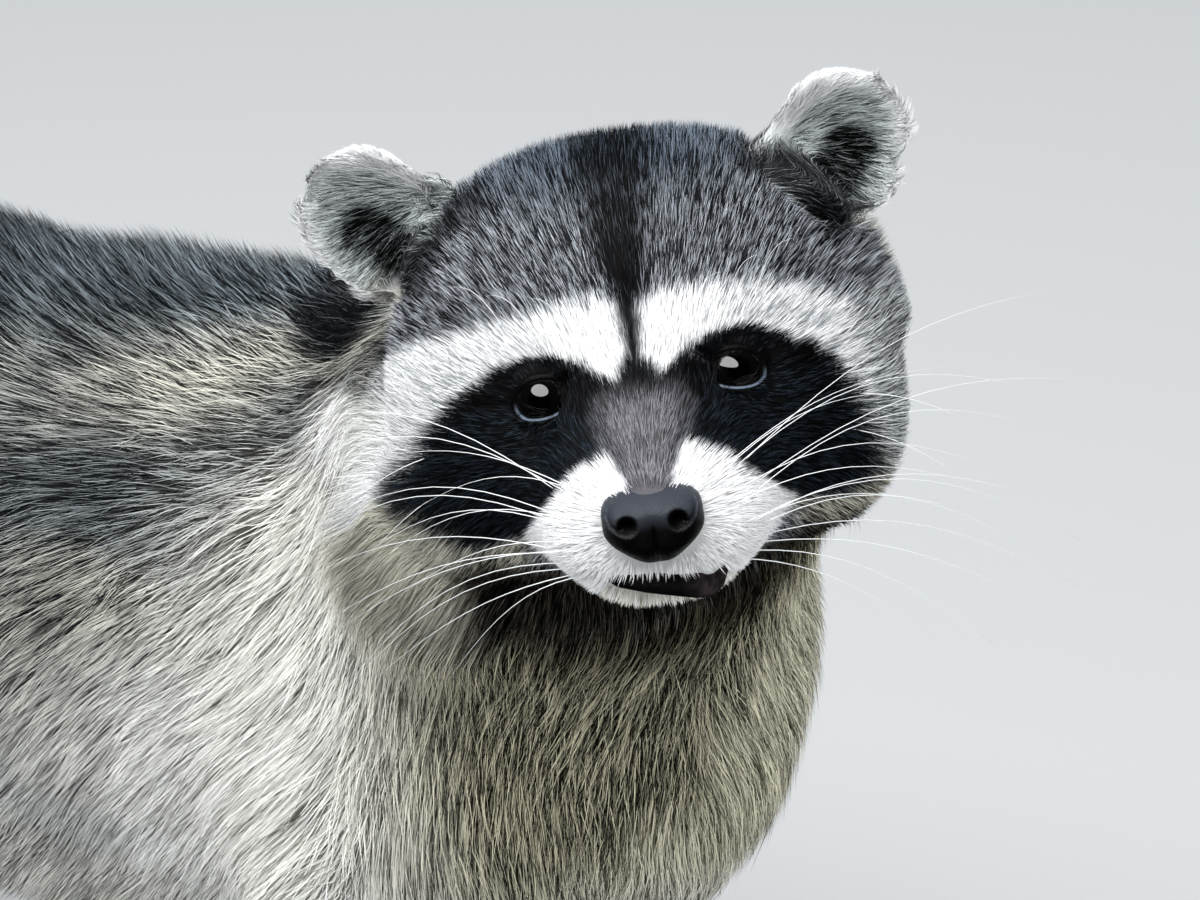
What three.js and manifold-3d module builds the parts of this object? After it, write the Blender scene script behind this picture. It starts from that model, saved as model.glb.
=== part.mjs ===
// A raccoon standing square on four feet, with its head turned to its right and tilted.
//
// Millimetres. +X is the way the body faces, +Y is the animal's left and +Z is up. Every size is that of the
// coat's outside, so the solids reach to the tips of the fur. The flesh is lofted as tubes, joined into one
// solid, pressed into shape on the face, and then parted by thin cuts into the pieces a person would name.

import * as THREE from "three";
import { ParametricGeometry } from "three/addons/geometries/ParametricGeometry.js";
import { mergeVertices } from "three/addons/utils/BufferGeometryUtils.js";
import Module from "manifold-3d";

const wasm = await Module();
wasm.setup();

// ---------------------------------------------------------------- driving sizes

const GAP = 0.3; // clearance left by every cut
const FLOOR = 0; // level of the soles

const HEAD = { eyes: [193, -67, 292], turnDeg: -49.8, nodDeg: 3, tiltDeg: 8.4 }; // place and turn of the head
const EYE = { radius: 8, apart: 47, ahead: 7 }; // eyeballs, and how far ahead of the head's origin they sit
const NOSE = { at: [50.5, -0.6, -22.6], halfWidth: 12.5, halfHeight: 11.5, halfDepth: 8.5 };
const EAR = { length: 56, halfWidth: 21.5, bowl: 14, thickness: 7, edge: 5 };
const EAR_SET = { // each ear's line in the head's own frame
  left: { root: [-49, 40, 13], tip: [-51, 70, 59] },
  right: { root: [-49, -42, 13], tip: [-51, -78, 56] },
};
const STANCE = { front: 52, hind: 60 }; // sideways distance of the feet from the middle
const LEG_TOP = 78; // level at which the legs part from the trunk, just under the belly
const TAIL_CUTS = [ // the tail's lengths from the tip in, and the share of its path where each begins
  { name: "tail_tip", from: 0.76 },
  { name: "tail_middle", from: 0.5 },
  { name: "tail_base", from: 0.24 },
];

// Stations of each tube: the section's centre, then its half-width, its reach above and below the centre, and
// the powers of the rounded upper and lower halves: 2 is an ellipse, less is sharper, more is squarer.
const TRUNK = [
  { at: [176, 0, 186], wide: 30, above: 30, below: 42 },
  { at: [161, 0, 188], wide: 50, above: 54, below: 72 },
  { at: [130, 0, 191], wide: 64, above: 72, below: 88 },
  { at: [88, 0, 192], wide: 71, above: 82, below: 100 },
  { at: [42, 0, 191], wide: 74, above: 80, below: 108 },
  { at: [-5, 0, 190], wide: 77, above: 76, below: 110 },
  { at: [-55, 0, 190], wide: 81, above: 73, below: 109 },
  { at: [-105, 0, 191], wide: 84, above: 74, below: 102 },
  { at: [-152, 0, 195], wide: 82, above: 75, below: 92 },
  { at: [-195, 0, 200], wide: 73, above: 67, below: 74 },
  { at: [-226, 0, 202], wide: 55, above: 50, below: 51 },
  { at: [-246, 0, 202], wide: 27, above: 24, below: 27 },
];
const NECK = [
  { at: [60, 0, 206], wide: 62, above: 68, below: 62 },
  { at: [98, -3, 224], wide: 66, above: 67, below: 70 },
  { at: [130, -13, 248], wide: 64, above: 57, below: 70 },
  { at: [151, -25, 268], wide: 60, above: 48, below: 62 },
  { at: [168, -38, 282], wide: 44, above: 38, below: 44 },
];
const TAIL = [
  { at: [-215, 0, 222], wide: 20, above: 20, below: 20 },
  { at: [-250, 0, 210], wide: 24, above: 24, below: 24 },
  { at: [-290, 3, 175], wide: 29, above: 29, below: 29 },
  { at: [-332, 9, 136], wide: 31, above: 31, below: 31 },
  { at: [-380, 17, 107], wide: 31, above: 31, below: 31 },
  { at: [-428, 27, 93], wide: 28, above: 28, below: 28 },
  { at: [-458, 34, 90], wide: 20, above: 20, below: 20 },
  { at: [-474, 38, 90], wide: 8, above: 8, below: 8 },
];
// The legs hang, so their sections lie flat: "above" is in front of the centre and "below" behind it.
const FRONT_LEG = [
  { at: [90, 32, 204], wide: 22, above: 34, below: 40 },
  { at: [82, 44, 172], wide: 27, above: 35, below: 37 },
  { at: [73, 53, 140], wide: 24, above: 28, below: 28 },
  { at: [72, 54, 108], wide: 20.5, above: 21, below: 21 },
  { at: [79, 53, 75], wide: 17.5, above: 17, below: 17 },
  { at: [88, 52, 44], wide: 15, above: 14.5, below: 14.5 },
  { at: [93, 52, 19], wide: 13.5, above: 13, below: 12.5 },
];
const HIND_LEG = [
  { at: [-163, 38, 214], wide: 34, above: 58, below: 50 },
  { at: [-154, 54, 176], wide: 36, above: 57, below: 50 },
  { at: [-147, 63, 140], wide: 31, above: 42, below: 41 },
  { at: [-156, 66, 106], wide: 24, above: 29, below: 28 },
  { at: [-178, 64, 76], wide: 19, above: 20, below: 21 },
  { at: [-197, 61, 46], wide: 15, above: 15, below: 15 },
  { at: [-203, 60, 18], wide: 13.5, above: 13, below: 12 },
];
// The head's own frame: the origin is midway between the eyes, +X is towards the nose.
const SKULL = [
  { at: [-98, 0, -12], wide: 40, above: 38, below: 38 },
  { at: [-84, 0, -11], wide: 55, above: 52, below: 50 },
  { at: [-66, 0, -10], wide: 62, above: 61, below: 53, arch: 2.4 },
  { at: [-48, 0, -10], wide: 65, above: 65, below: 53, arch: 2.5 },
  { at: [-32, 0, -12], wide: 66, above: 65, below: 50, arch: 2.4 },
  { at: [-17, 0, -14], wide: 61, above: 58, below: 46, arch: 2.1 },
  { at: [-5, 0, -17], wide: 52, above: 47, below: 41, arch: 1.85 },
  { at: [6, 0, -20], wide: 41, above: 37, below: 35, arch: 1.7 },
  { at: [17, 0, -23], wide: 34, above: 30, below: 29, arch: 1.7 },
  { at: [29, 0, -26], wide: 29, above: 25, below: 25, arch: 1.8 },
  { at: [40, 0, -28], wide: 24.5, above: 20.5, below: 21.5, arch: 2.0 },
  { at: [48, 0, -28], wide: 18, above: 16, below: 18, arch: 2.0 },
  { at: [52, 0, -28], wide: 11, above: 11, below: 13, arch: 2.0 },
];
// Soft presses on the face, mirrored on both sides: where, how wide, and how far the surface moves.
const FACE_PRESSES = [
  { name: "eye socket", at: [13, 24, 0], radius: 13, move: [-5, -1, 0] },
  { name: "brow", at: [3, 19, 17], radius: 13, move: [3, 0, 1] },
  { name: "temple", at: [-22, 60, 24], radius: 24, move: [0, -4, -2] },
  { name: "cheek ruff", at: [-24, 64, -24], radius: 26, move: [1, 3, -2] },
  { name: "jowl", at: [-16, 44, -50], radius: 24, move: [0, 2, -3] },
  { name: "whisker pad", at: [36, 20, -30], radius: 14, move: [1, 2.5, -1] },
  { name: "muzzle hollow", at: [20, 30, -10], radius: 13, move: [-1, -3, 0] },
  { name: "chin", at: [52, 6, -50], radius: 17, move: [-3.5, 0, 0] },
];
// A foot's own frame: the origin is on the floor under the ankle, +X is towards the toes.
const FRONT_PAW = {
  palm: [
    { at: [-13, 0, 13], wide: 8, above: 8, below: 9 },
    { at: [-4, 0, 14], wide: 13, above: 14, below: 15.4 },
    { at: [8, 0, 10.5], wide: 15.5, above: 10.5, below: 11.9 },
    { at: [19, 0, 8], wide: 17.5, above: 8, below: 9.2 },
    { at: [27, 0, 6.5], wide: 15.5, above: 6, below: 7.5 },
    { at: [30, 0, 6], wide: 11, above: 3.5, below: 4.5 },
  ],
  toes: { root: 19, spread: 14, fanDeg: 15, length: 34, outer: 0.74, radius: 4.6, claw: 10 },
};
const HIND_FOOT = {
  palm: [
    { at: [-16, 0, 12], wide: 6, above: 7, below: 8 },
    { at: [-9, 0, 14], wide: 12, above: 13, below: 15.4 },
    { at: [8, 0, 12], wide: 14, above: 13, below: 13.4 },
    { at: [30, 0, 9.5], wide: 17, above: 10, below: 10.9 },
    { at: [48, 0, 8], wide: 18.5, above: 8, below: 9.2 },
    { at: [59, 0, 6.5], wide: 16, above: 6, below: 7.5 },
    { at: [62, 0, 6], wide: 12, above: 3.5, below: 4.5 },
  ],
  toes: { root: 50, spread: 15, fanDeg: 12, length: 33, outer: 0.78, radius: 4.8, claw: 11 },
};
const TOES = 5;
const TOE_TILT = 3; // how far a toe's joint stands above its ends

// ---------------------------------------------------------------- shapes and solids

const vector = (xyz) => new THREE.Vector3(...xyz);
const mirrored = ([x, y, z], side) => [x, y * side, z];
const FACTORS = { wide: 1, above: 1, below: 1, arch: 2.2, keel: 2.2 }; // a station's sizes and default powers

/** One size of a tube's stations as a smooth function of the share of the way along it. */
function sizeAlong(stations, key) {
  const values = stations.map((s, i) => new THREE.Vector2(i, s[key] ?? FACTORS[key]));
  const curve = new THREE.SplineCurve(values);
  return (share) => curve.getPoint(share).y;
}

/** A closed tube through the stations. up is roughly the way that "above" points. */
function tube(stations, { up = [0, 0, 1], around = 24, along = 2 * stations.length } = {}) {
  const path = new THREE.CatmullRomCurve3(stations.map((s) => vector(s.at)), false, "centripetal");
  const size = Object.fromEntries(Object.keys(FACTORS).map((key) => [key, sizeAlong(stations, key)]));
  const surface = (u, v, target) => {
    const row = Math.round(u * (along + 2)); // the first and last rows close the ends
    const share = THREE.MathUtils.clamp((row - 1) / along, 0, 1);
    const centre = path.getPoint(share);
    if (row === 0 || row === along + 2) return target.copy(centre);
    const ahead = path.getTangent(share);
    const side = vector(up).cross(ahead).normalize();
    const rise = ahead.clone().cross(side);
    const [c, s] = [Math.cos(2 * Math.PI * v), -Math.sin(2 * Math.PI * v)];
    const power = 2 / size[s > 0 ? "arch" : "keel"](share);
    const out = Math.sign(c) * Math.abs(c) ** power * size.wide(share);
    const over = Math.sign(s) * Math.abs(s) ** power * size[s > 0 ? "above" : "below"](share);
    return target.copy(centre).addScaledVector(side, out).addScaledVector(rise, over);
  };
  return new ParametricGeometry(surface, along + 2, around);
}

/** Moves a geometry's points near a place, most at the place itself and not at all past its radius. */
function press(geometry, at, radius, move) {
  const place = vector(at);
  const shift = vector(move);
  const point = new THREE.Vector3();
  const positions = geometry.getAttribute("position");
  for (let i = 0; i < positions.count; i++) {
    point.fromBufferAttribute(positions, i);
    const near = Math.max(0, 1 - (point.distanceTo(place) / radius) ** 2);
    point.addScaledVector(shift, near * near);
    positions.setXYZ(i, point.x, point.y, point.z);
  }
}

/** A closed geometry as a manifold-3d solid that faces outwards. */
function solid(geometry, matrix = new THREE.Matrix4()) {
  const placed = new THREE.BufferGeometry()
    .setAttribute("position", geometry.getAttribute("position").clone())
    .setIndex(geometry.index ? geometry.index.clone() : null)
    .applyMatrix4(matrix);
  const merged = mergeVertices(placed, 1e-4);
  const corners = [...merged.index.array];
  const faces = [];
  for (let i = 0; i < corners.length; i += 3) {
    const [a, b, c] = corners.slice(i, i + 3);
    if (a !== b && b !== c && c !== a) faces.push(a, b, c);
  }
  const build = (order) =>
    new wasm.Manifold(
      new wasm.Mesh({
        numProp: 3,
        vertProperties: merged.getAttribute("position").array,
        triVerts: new Uint32Array(order),
      }),
    );
  const made = build(faces);
  return made.volume() > 0 ? made : build(faces.reverse());
}

/** A box as a solid, grown by the same amount on every side. */
const block = (size, matrix, grow = 0) =>
  solid(new THREE.BoxGeometry(...size.map((s) => s + 2 * grow)), matrix);

/** The matrix of a frame at a place, turned about Z, then Y, then X, in degrees. */
function frame(at, turnDeg = 0, nodDeg = 0, tiltDeg = 0) {
  const [turn, nod, tilt] = [turnDeg, nodDeg, tiltDeg].map(THREE.MathUtils.degToRad);
  const rotation = new THREE.Quaternion().setFromEuler(new THREE.Euler(tilt, -nod, turn, "ZYX"));
  return new THREE.Matrix4().compose(vector(at), rotation, new THREE.Vector3(1, 1, 1));
}

/** The matrix of a cutting block whose near face stands at a place, facing along a direction. */
function facing(at, direction, reach) {
  const ahead = vector(direction).normalize();
  const rotation = new THREE.Quaternion().setFromUnitVectors(new THREE.Vector3(1, 0, 0), ahead);
  const centre = vector(at).addScaledVector(ahead, reach / 2);
  return new THREE.Matrix4().compose(centre, rotation, new THREE.Vector3(1, 1, 1));
}

// ---------------------------------------------------------------- the animal's forms

const headFrame = frame(HEAD.eyes, HEAD.turnDeg, HEAD.nodDeg, HEAD.tiltDeg);
const inHead = (local) => headFrame.clone().multiply(local);

/** The skull and muzzle with the face pressed into shape, in the head's frame. */
function skull() {
  const made = tube(SKULL, { around: 32, along: 19 });
  for (const { at, radius, move } of FACE_PRESSES)
    for (const side of [1, -1]) press(made, mirrored(at, side), radius, mirrored(move, side));
  return made;
}

/** One ear: a rounded leaf bent into a bowl, closed all round, in the head's frame. */
function ear(label) {
  const root = vector(EAR_SET[label].root);
  const up = vector(EAR_SET[label].tip).sub(root).normalize();
  const open = vector([1, 0.34 * Math.sign(root.y), -0.05]); // the way the bowl opens
  const across = up.clone().cross(open).normalize();
  const back = across.clone().cross(up).normalize().negate();
  const outline = (t) => EAR.halfWidth * Math.sqrt(Math.max(0, 1 - (Math.abs(t - 0.46) / 0.54) ** 2.5));
  const surface = (u, v, target) => {
    const [c, s] = [Math.cos(2 * Math.PI * v), -Math.sin(2 * Math.PI * v)];
    const wide = u === 0 ? 0 : outline(Math.max(u, 0.08));
    const hollow = EAR.bowl * (1 - c * c) * Math.sin(Math.PI * Math.min(1, 0.15 + u * 0.85)) ** 0.6;
    const thick = (EAR.edge + (EAR.thickness - EAR.edge) * (1 - c * c)) * (u === 0 || u === 1 ? 0 : 1);
    return target
      .copy(root)
      .addScaledVector(up, u * EAR.length)
      .addScaledVector(across, c * wide)
      .addScaledVector(back, hollow + (s * thick) / 2);
  };
  return new ParametricGeometry(surface, 8, 12);
}

/** One eyeball, in the head's frame. */
function eyeball(grow = 0) {
  return new THREE.SphereGeometry(EYE.radius + grow, 12, 8);
}
const eyeFrame = (side) => frame([EYE.ahead, (EYE.apart / 2) * side, 0], 14 * side);

/** The bare nose: a rounded pad, flatter above, with a dent for each nostril. */
function nose(grow = 0) {
  const made = new THREE.SphereGeometry(1, 14, 9);
  made.rotateZ(Math.PI / 2);
  made.scale(NOSE.halfDepth + grow, NOSE.halfWidth + grow, NOSE.halfHeight + grow);
  for (const side of [1, -1]) press(made, [8, 6.5 * side, -1], 5, [-3, 0, 0]);
  return made;
}

/** The toes of one foot, each with its place, direction and length, in the foot's frame. */
function toeRows({ root, spread, fanDeg, length, outer }) {
  return Array.from({ length: TOES }, (_, i) => {
    const across = (i - (TOES - 1) / 2) / ((TOES - 1) / 2); // -1 to 1
    const reach = length * (1 - (1 - outer) * across * across);
    return { at: [root - 7 * across * across, spread * across, 0], turnDeg: fanDeg * across, reach };
  });
}

/** One toe, lying forwards from its root. */
function toe(reach, radius) {
  const start = radius - 0.5;
  return tube(
    [
      { at: [-2, 0, start], wide: radius, above: radius, below: radius },
      { at: [reach * 0.6, 0, start + TOE_TILT], wide: radius, above: radius, below: radius * 1.5 },
      { at: [reach, 0, radius * 0.72], wide: radius * 0.6, above: radius * 0.6, below: radius * 0.6 },
    ],
    { around: 6, along: 2 },
  );
}

/** One claw, curved down from the tip of a toe and standing just clear of it. */
function claw(reach, radius, length) {
  const base = radius * 0.72;
  const root = reach + 0.25 * radius + GAP;
  return tube(
    [
      { at: [root, 0, base], wide: 1.5, above: 1.8, below: 1.8 },
      { at: [root + length * 0.4, 0, base + 0.1], wide: 1.2, above: 1.4, below: 1.4 },
      { at: [root + length * 0.72, 0, base - 1.7], wide: 0.45, above: 0.5, below: 0.5 },
    ],
    { around: 4, along: 2 },
  );
}

// ---------------------------------------------------------------- joining

const SIDES = [[1, "left"], [-1, "right"]];

/** A foot's frame, sizes and names. */
const foot = (shape, x, y, turnDeg, name, claw) => ({ shape, at: frame([x, y, FLOOR], turnDeg), name, claw });
const ankle = (leg) => leg.at(-1).at[0];
const feet = SIDES.flatMap(([side, label]) => {
  const front = [FRONT_PAW, ankle(FRONT_LEG), STANCE.front * side, 5 * side];
  const hind = [HIND_FOOT, ankle(HIND_LEG), STANCE.hind * side, 7 * side];
  return [
    foot(...front, `front_paw_${label}`, `front_claw_${label}`),
    foot(...hind, `hind_foot_${label}`, `hind_claw_${label}`),
  ];
});

const claws = [];
let flesh = solid(skull(), headFrame)
  .add(solid(tube(NECK, { around: 20, along: 6 })))
  .add(solid(tube(TRUNK, { around: 20, along: 12 })))
  .add(solid(tube(TAIL, { around: 12, along: 8 })));
for (const [side, label] of SIDES) {
  flesh = flesh.add(solid(ear(label), headFrame));
  for (const leg of [FRONT_LEG, HIND_LEG]) {
    const stations = leg.map((s) => ({ ...s, at: mirrored(s.at, side) }));
    flesh = flesh.add(solid(tube(stations, { up: [1, 0, 0], around: 10, along: 7 })));
  }
}
for (const { shape, at: ground, claw: label } of feet) {
  flesh = flesh.add(solid(tube(shape.palm, { around: 10, along: 5 }), ground));
  const { radius, claw: length } = shape.toes;
  toeRows(shape.toes).forEach(({ at, turnDeg, reach }, i) => {
    const place = ground.clone().multiply(frame(at, turnDeg));
    flesh = flesh.add(solid(toe(reach, radius), place));
    claws.push({ name: `${label}_${i + 1}`, geometry: claw(reach, radius, length), place });
  });
}
// The soles are cut flat at one level, and the eyes and nose get their sockets.
flesh = flesh.intersect(block([2000, 2000, 1000], frame([0, 0, FLOOR + 500])));
for (const side of [1, -1]) flesh = flesh.subtract(solid(eyeball(GAP), inHead(eyeFrame(side))));
flesh = flesh.subtract(solid(nose(GAP), inHead(frame(NOSE.at))));

// ---------------------------------------------------------------- parting

const pieces = new Map();

/** Parts off what lies in a block, leaving the gap round it. */
function part(name, size, matrix) {
  pieces.set(name, flesh.intersect(block(size, matrix)));
  flesh = flesh.subtract(block(size, matrix, GAP));
}

for (const [side, label] of SIDES) {
  part(`ear_${label}`, [70, 60, 70], inHead(facing([-49, 54 * side, 34.5], [0, 0.66 * side, 0.75], 60)));
}
part("lower_jaw", [60, 90, 60], inHead(frame([40, 0, -67.5], 0, 4)));
part("muzzle", [90, 120, 120], inHead(facing([17, 0, -20], [1, 0, 0], 90)));
part("head", [260, 260, 260], inHead(facing([-52, 0, -30], [1, 0, 0.7], 260)));
part("neck", [260, 260, 260], facing([104, -5, 226], [0.8, -0.12, 0.6], 260));
const tailPath = new THREE.CatmullRomCurve3(TAIL.map((s) => vector(s.at)), false, "centripetal");
for (const { name, from } of TAIL_CUTS) {
  const start = tailPath.getPoint(from).toArray();
  part(name, [400, 130, 130], facing(start, tailPath.getTangent(from).toArray(), 400));
}
for (const { name, at } of feet) {
  const [x, y] = new THREE.Vector3().setFromMatrixPosition(at).toArray();
  part(name, [160, 84, 60], frame([x + 20, y, FLOOR - 4]));
}
for (const [side, label] of SIDES) {
  part(`front_leg_${label}`, [140, 90, 160], frame([80, (STANCE.front + 5) * side, LEG_TOP - 80]));
  part(`hind_leg_${label}`, [170, 90, 160], frame([-165, (STANCE.hind + 5) * side, LEG_TOP - 80]));
}
pieces.set("trunk", flesh);

// ---------------------------------------------------------------- the model

const MATERIALS = {
  coat: new THREE.MeshStandardMaterial({ color: 0x77756f, roughness: 0.9 }),
  darkCoat: new THREE.MeshStandardMaterial({ color: 0x3a3a3c, roughness: 0.9 }),
  paleCoat: new THREE.MeshStandardMaterial({ color: 0xd9d7d0, roughness: 0.9 }),
  eye: new THREE.MeshStandardMaterial({ color: 0x0d0a08, roughness: 0.05 }),
  nose: new THREE.MeshStandardMaterial({ color: 0x1c1c20, roughness: 0.4 }),
  claw: new THREE.MeshStandardMaterial({ color: 0x2a2622, roughness: 0.4 }),
};
const COATS = { // the pieces whose coat isn't the common grey
  muzzle: "paleCoat",
  lower_jaw: "paleCoat",
  ear_left: "paleCoat",
  ear_right: "paleCoat",
  tail_tip: "darkCoat",
};

/** A solid as a named mesh. */
function mesh(name, geometry, material) {
  const made = new THREE.Mesh(geometry, material);
  made.name = name;
  return made;
}

/** A solid's faces as a geometry. */
function geometryOf(made) {
  const { vertProperties, triVerts, numProp, numVert } = made.getMesh();
  const positions = new Float32Array(3 * numVert);
  for (let i = 0; i < numVert; i++) positions.set(vertProperties.subarray(i * numProp, i * numProp + 3), 3 * i);
  return new THREE.BufferGeometry()
    .setAttribute("position", new THREE.BufferAttribute(positions, 3))
    .setIndex(new THREE.BufferAttribute(new Uint32Array(triVerts), 1));
}

const animal = new THREE.Group();
for (const [name, made] of pieces) {
  animal.add(mesh(name, geometryOf(made), MATERIALS[COATS[name] ?? "coat"]));
}

const face = new THREE.Group(); // what sits in the head's frame
face.applyMatrix4(headFrame);
for (const [side, label] of SIDES) {
  const eye = mesh(`eye_${label}`, eyeball(), MATERIALS.eye);
  eye.applyMatrix4(eyeFrame(side));
  face.add(eye);
}
const pad = mesh("nose", nose(), MATERIALS.nose);
pad.position.set(...NOSE.at);
face.add(pad);
animal.add(face);

for (const { name, geometry, place } of claws) {
  const made = mesh(name, geometry, MATERIALS.claw);
  made.applyMatrix4(place);
  animal.add(made);
}

// The origin is on the floor, under the middle of the whole animal.
const middle = new THREE.Box3().setFromObject(animal).getCenter(new THREE.Vector3());
animal.position.set(-middle.x, -middle.y, -FLOOR);

export default animal;
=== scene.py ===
"""A life-size raccoon: skin, coat, face and studio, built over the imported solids.

The solids give the outline out to the tips of the fur. One skin is drawn in from them by the coat's
depth, and the coat is laid over it in thin tapering locks that follow the lie of the fur. Skin and coat
take their markings from the same plan.
"""

import logging
import math
from dataclasses import dataclass, field
from enum import Enum
from typing import Any, Callable, Sequence

import bmesh
import bpy
import numpy as np
from bmesh.types import BMesh
from bpy.types import Material, Object
from mathutils import Euler, Matrix, Vector
from mathutils.bvhtree import BVHTree
from mathutils.kdtree import KDTree


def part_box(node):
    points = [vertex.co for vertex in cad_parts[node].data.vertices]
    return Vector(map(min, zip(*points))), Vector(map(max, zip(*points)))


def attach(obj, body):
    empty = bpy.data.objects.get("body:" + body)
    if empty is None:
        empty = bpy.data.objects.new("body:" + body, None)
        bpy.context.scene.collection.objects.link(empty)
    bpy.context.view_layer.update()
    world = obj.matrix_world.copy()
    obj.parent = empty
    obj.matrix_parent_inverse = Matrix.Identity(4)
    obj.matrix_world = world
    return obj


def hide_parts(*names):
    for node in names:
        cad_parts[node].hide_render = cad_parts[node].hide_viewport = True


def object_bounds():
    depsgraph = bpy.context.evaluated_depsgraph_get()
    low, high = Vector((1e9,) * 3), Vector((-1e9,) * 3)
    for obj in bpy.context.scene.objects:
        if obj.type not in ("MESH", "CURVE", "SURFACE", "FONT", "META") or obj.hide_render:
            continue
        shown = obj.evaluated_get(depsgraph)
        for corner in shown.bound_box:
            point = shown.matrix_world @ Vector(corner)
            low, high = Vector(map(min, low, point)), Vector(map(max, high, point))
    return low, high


Array = np.ndarray
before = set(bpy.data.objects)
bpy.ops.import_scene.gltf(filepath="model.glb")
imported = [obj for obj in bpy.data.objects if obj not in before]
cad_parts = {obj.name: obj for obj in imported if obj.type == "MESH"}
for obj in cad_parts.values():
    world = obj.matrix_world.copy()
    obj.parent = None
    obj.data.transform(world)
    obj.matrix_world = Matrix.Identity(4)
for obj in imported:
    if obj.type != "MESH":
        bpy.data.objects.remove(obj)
CAD_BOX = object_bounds()
LOG = logging.getLogger("raccoon")
SEED = 20417
MM = 0.001

SIDES = ("left", "right")
TAIL = ("tail_base", "tail_middle", "tail_tip")
TAIL_ROOT_DROP = 0.035  # from the top of the tail's root to its middle line, metres
TAIL_TIP_DROP = 0.012  # how far its tip hangs below the last solid's middle, metres
MOST_TRIANGLES = 190_000  # in one piece of the coat


# ------ small sums


def unit(vectors: Array) -> Array:
    """Vectors of length one, row by row."""
    return vectors / np.maximum(np.linalg.norm(vectors, axis=-1, keepdims=True), 1e-12)


def ease(values: Array, low: float, high: float) -> Array:
    """A smooth step from 0 at low to 1 at high; it falls where high is the smaller."""
    t = np.clip((values - low) / (high - low), 0.0, 1.0)
    return t * t * (3.0 - 2.0 * t)


def along(a: Array, b: Array) -> Array:
    """Row-by-row dot products, as a column."""
    return (a * b).sum(-1, keepdims=True)


def tone(red: float, green: float, blue: float) -> Array:
    """A colour named on the eye's 0 to 255 scale, as light values."""
    c = np.array([red, green, blue]) / 255.0
    return np.where(c <= 0.04045, c / 12.92, ((c + 0.055) / 1.055) ** 2.4)


def gap_to(places: Array, start: Sequence[float], end: Sequence[float]) -> Array:
    """How far flat places are from a straight line between two ends.

    Args:
        places: rows of two.
        start: one end.
        end: the other.

    Returns:
        Distances in the places' own unit.
    """
    span = np.subtract(end, start)
    rel = places - start
    share = np.clip(rel @ span / (span @ span), 0, 1)[:, None]
    return np.linalg.norm(rel - share * span, axis=1)


def off_centre(places: Array, centre: Sequence[float], half: Sequence[float]) -> Array:
    """How far places are from the middle of an egg shape, as a share of its half widths."""
    return np.linalg.norm((places - centre) / half, axis=1)


def bearing(azimuth_deg: float, height_deg: float) -> Array:
    """The direction out from the animal, turned from the front of the frame and raised from the floor."""
    turn, rise = math.radians(azimuth_deg), math.radians(height_deg)
    return np.array([math.sin(turn) * math.cos(rise), -math.cos(turn) * math.cos(rise), math.sin(rise)])


class Pattern(Enum):
    """The random patterns, each with its own seed."""

    PATCHES = 3
    LIPS = 4
    SWIRL = 5
    EDGES = 8


def mottle(points: Array, size: float, pattern: Pattern) -> Array:
    """Smooth random values from 0 to 1 that change over a given size.

    Args:
        points: places, in the same unit as size.
        size: the spacing of the changes.
        pattern: which pattern.

    Returns:
        One value for each place.
    """
    grid = points / size
    corner = np.floor(grid).astype(np.int64)
    t = grid - corner
    t = t * t * (3 - 2 * t)
    total = np.zeros(len(points))
    for offset in np.ndindex(2, 2, 2):
        at = corner + offset
        key = at[:, 0] * 73856093 ^ at[:, 1] * 19349663 ^ at[:, 2] * 83492791 ^ pattern.value * 2654435761
        key = ((key ^ (key >> 13)) * 1274126177) & 0x7FFFFFFF
        share = np.prod(np.where(offset, t, 1 - t), axis=1)
        total += share * ((key >> 7) % 10007) / 10007.0
    return total


# ------ small steps with meshes


def add_object(name: str, data: bpy.types.ID) -> Object:
    """An object for the data, linked into the scene.

    Args:
        name: the object's name.
        data: its mesh, lamp or camera.

    Returns:
        The object.
    """
    made = bpy.data.objects.new(name, data)
    bpy.context.scene.collection.objects.link(made)
    return made


def places_of(verts: Sequence[Any]) -> Array:
    """The places of a mesh's points, one row for each."""
    return np.array([vert.co for vert in verts])


def move_to(bm: BMesh, places: Array) -> None:
    """Puts each point of a bmesh in its own new place."""
    for vert, place in zip(bm.verts, places):
        vert.co = place


def round_ball(around: int, rings: int, radius: float) -> BMesh:
    """A ball whose poles lie ahead and behind.

    Args:
        around: how many faces round the poles.
        rings: how many rows of faces from pole to pole.
        radius: the ball's radius.

    Returns:
        The shape.
    """
    bm = bmesh.new()
    bmesh.ops.create_uvsphere(bm, u_segments=around, v_segments=rings, radius=radius)
    bmesh.ops.rotate(bm, verts=bm.verts, matrix=Matrix.Rotation(math.pi / 2, 3, "Y"))
    return bm


# ------ the head's own axes


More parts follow.
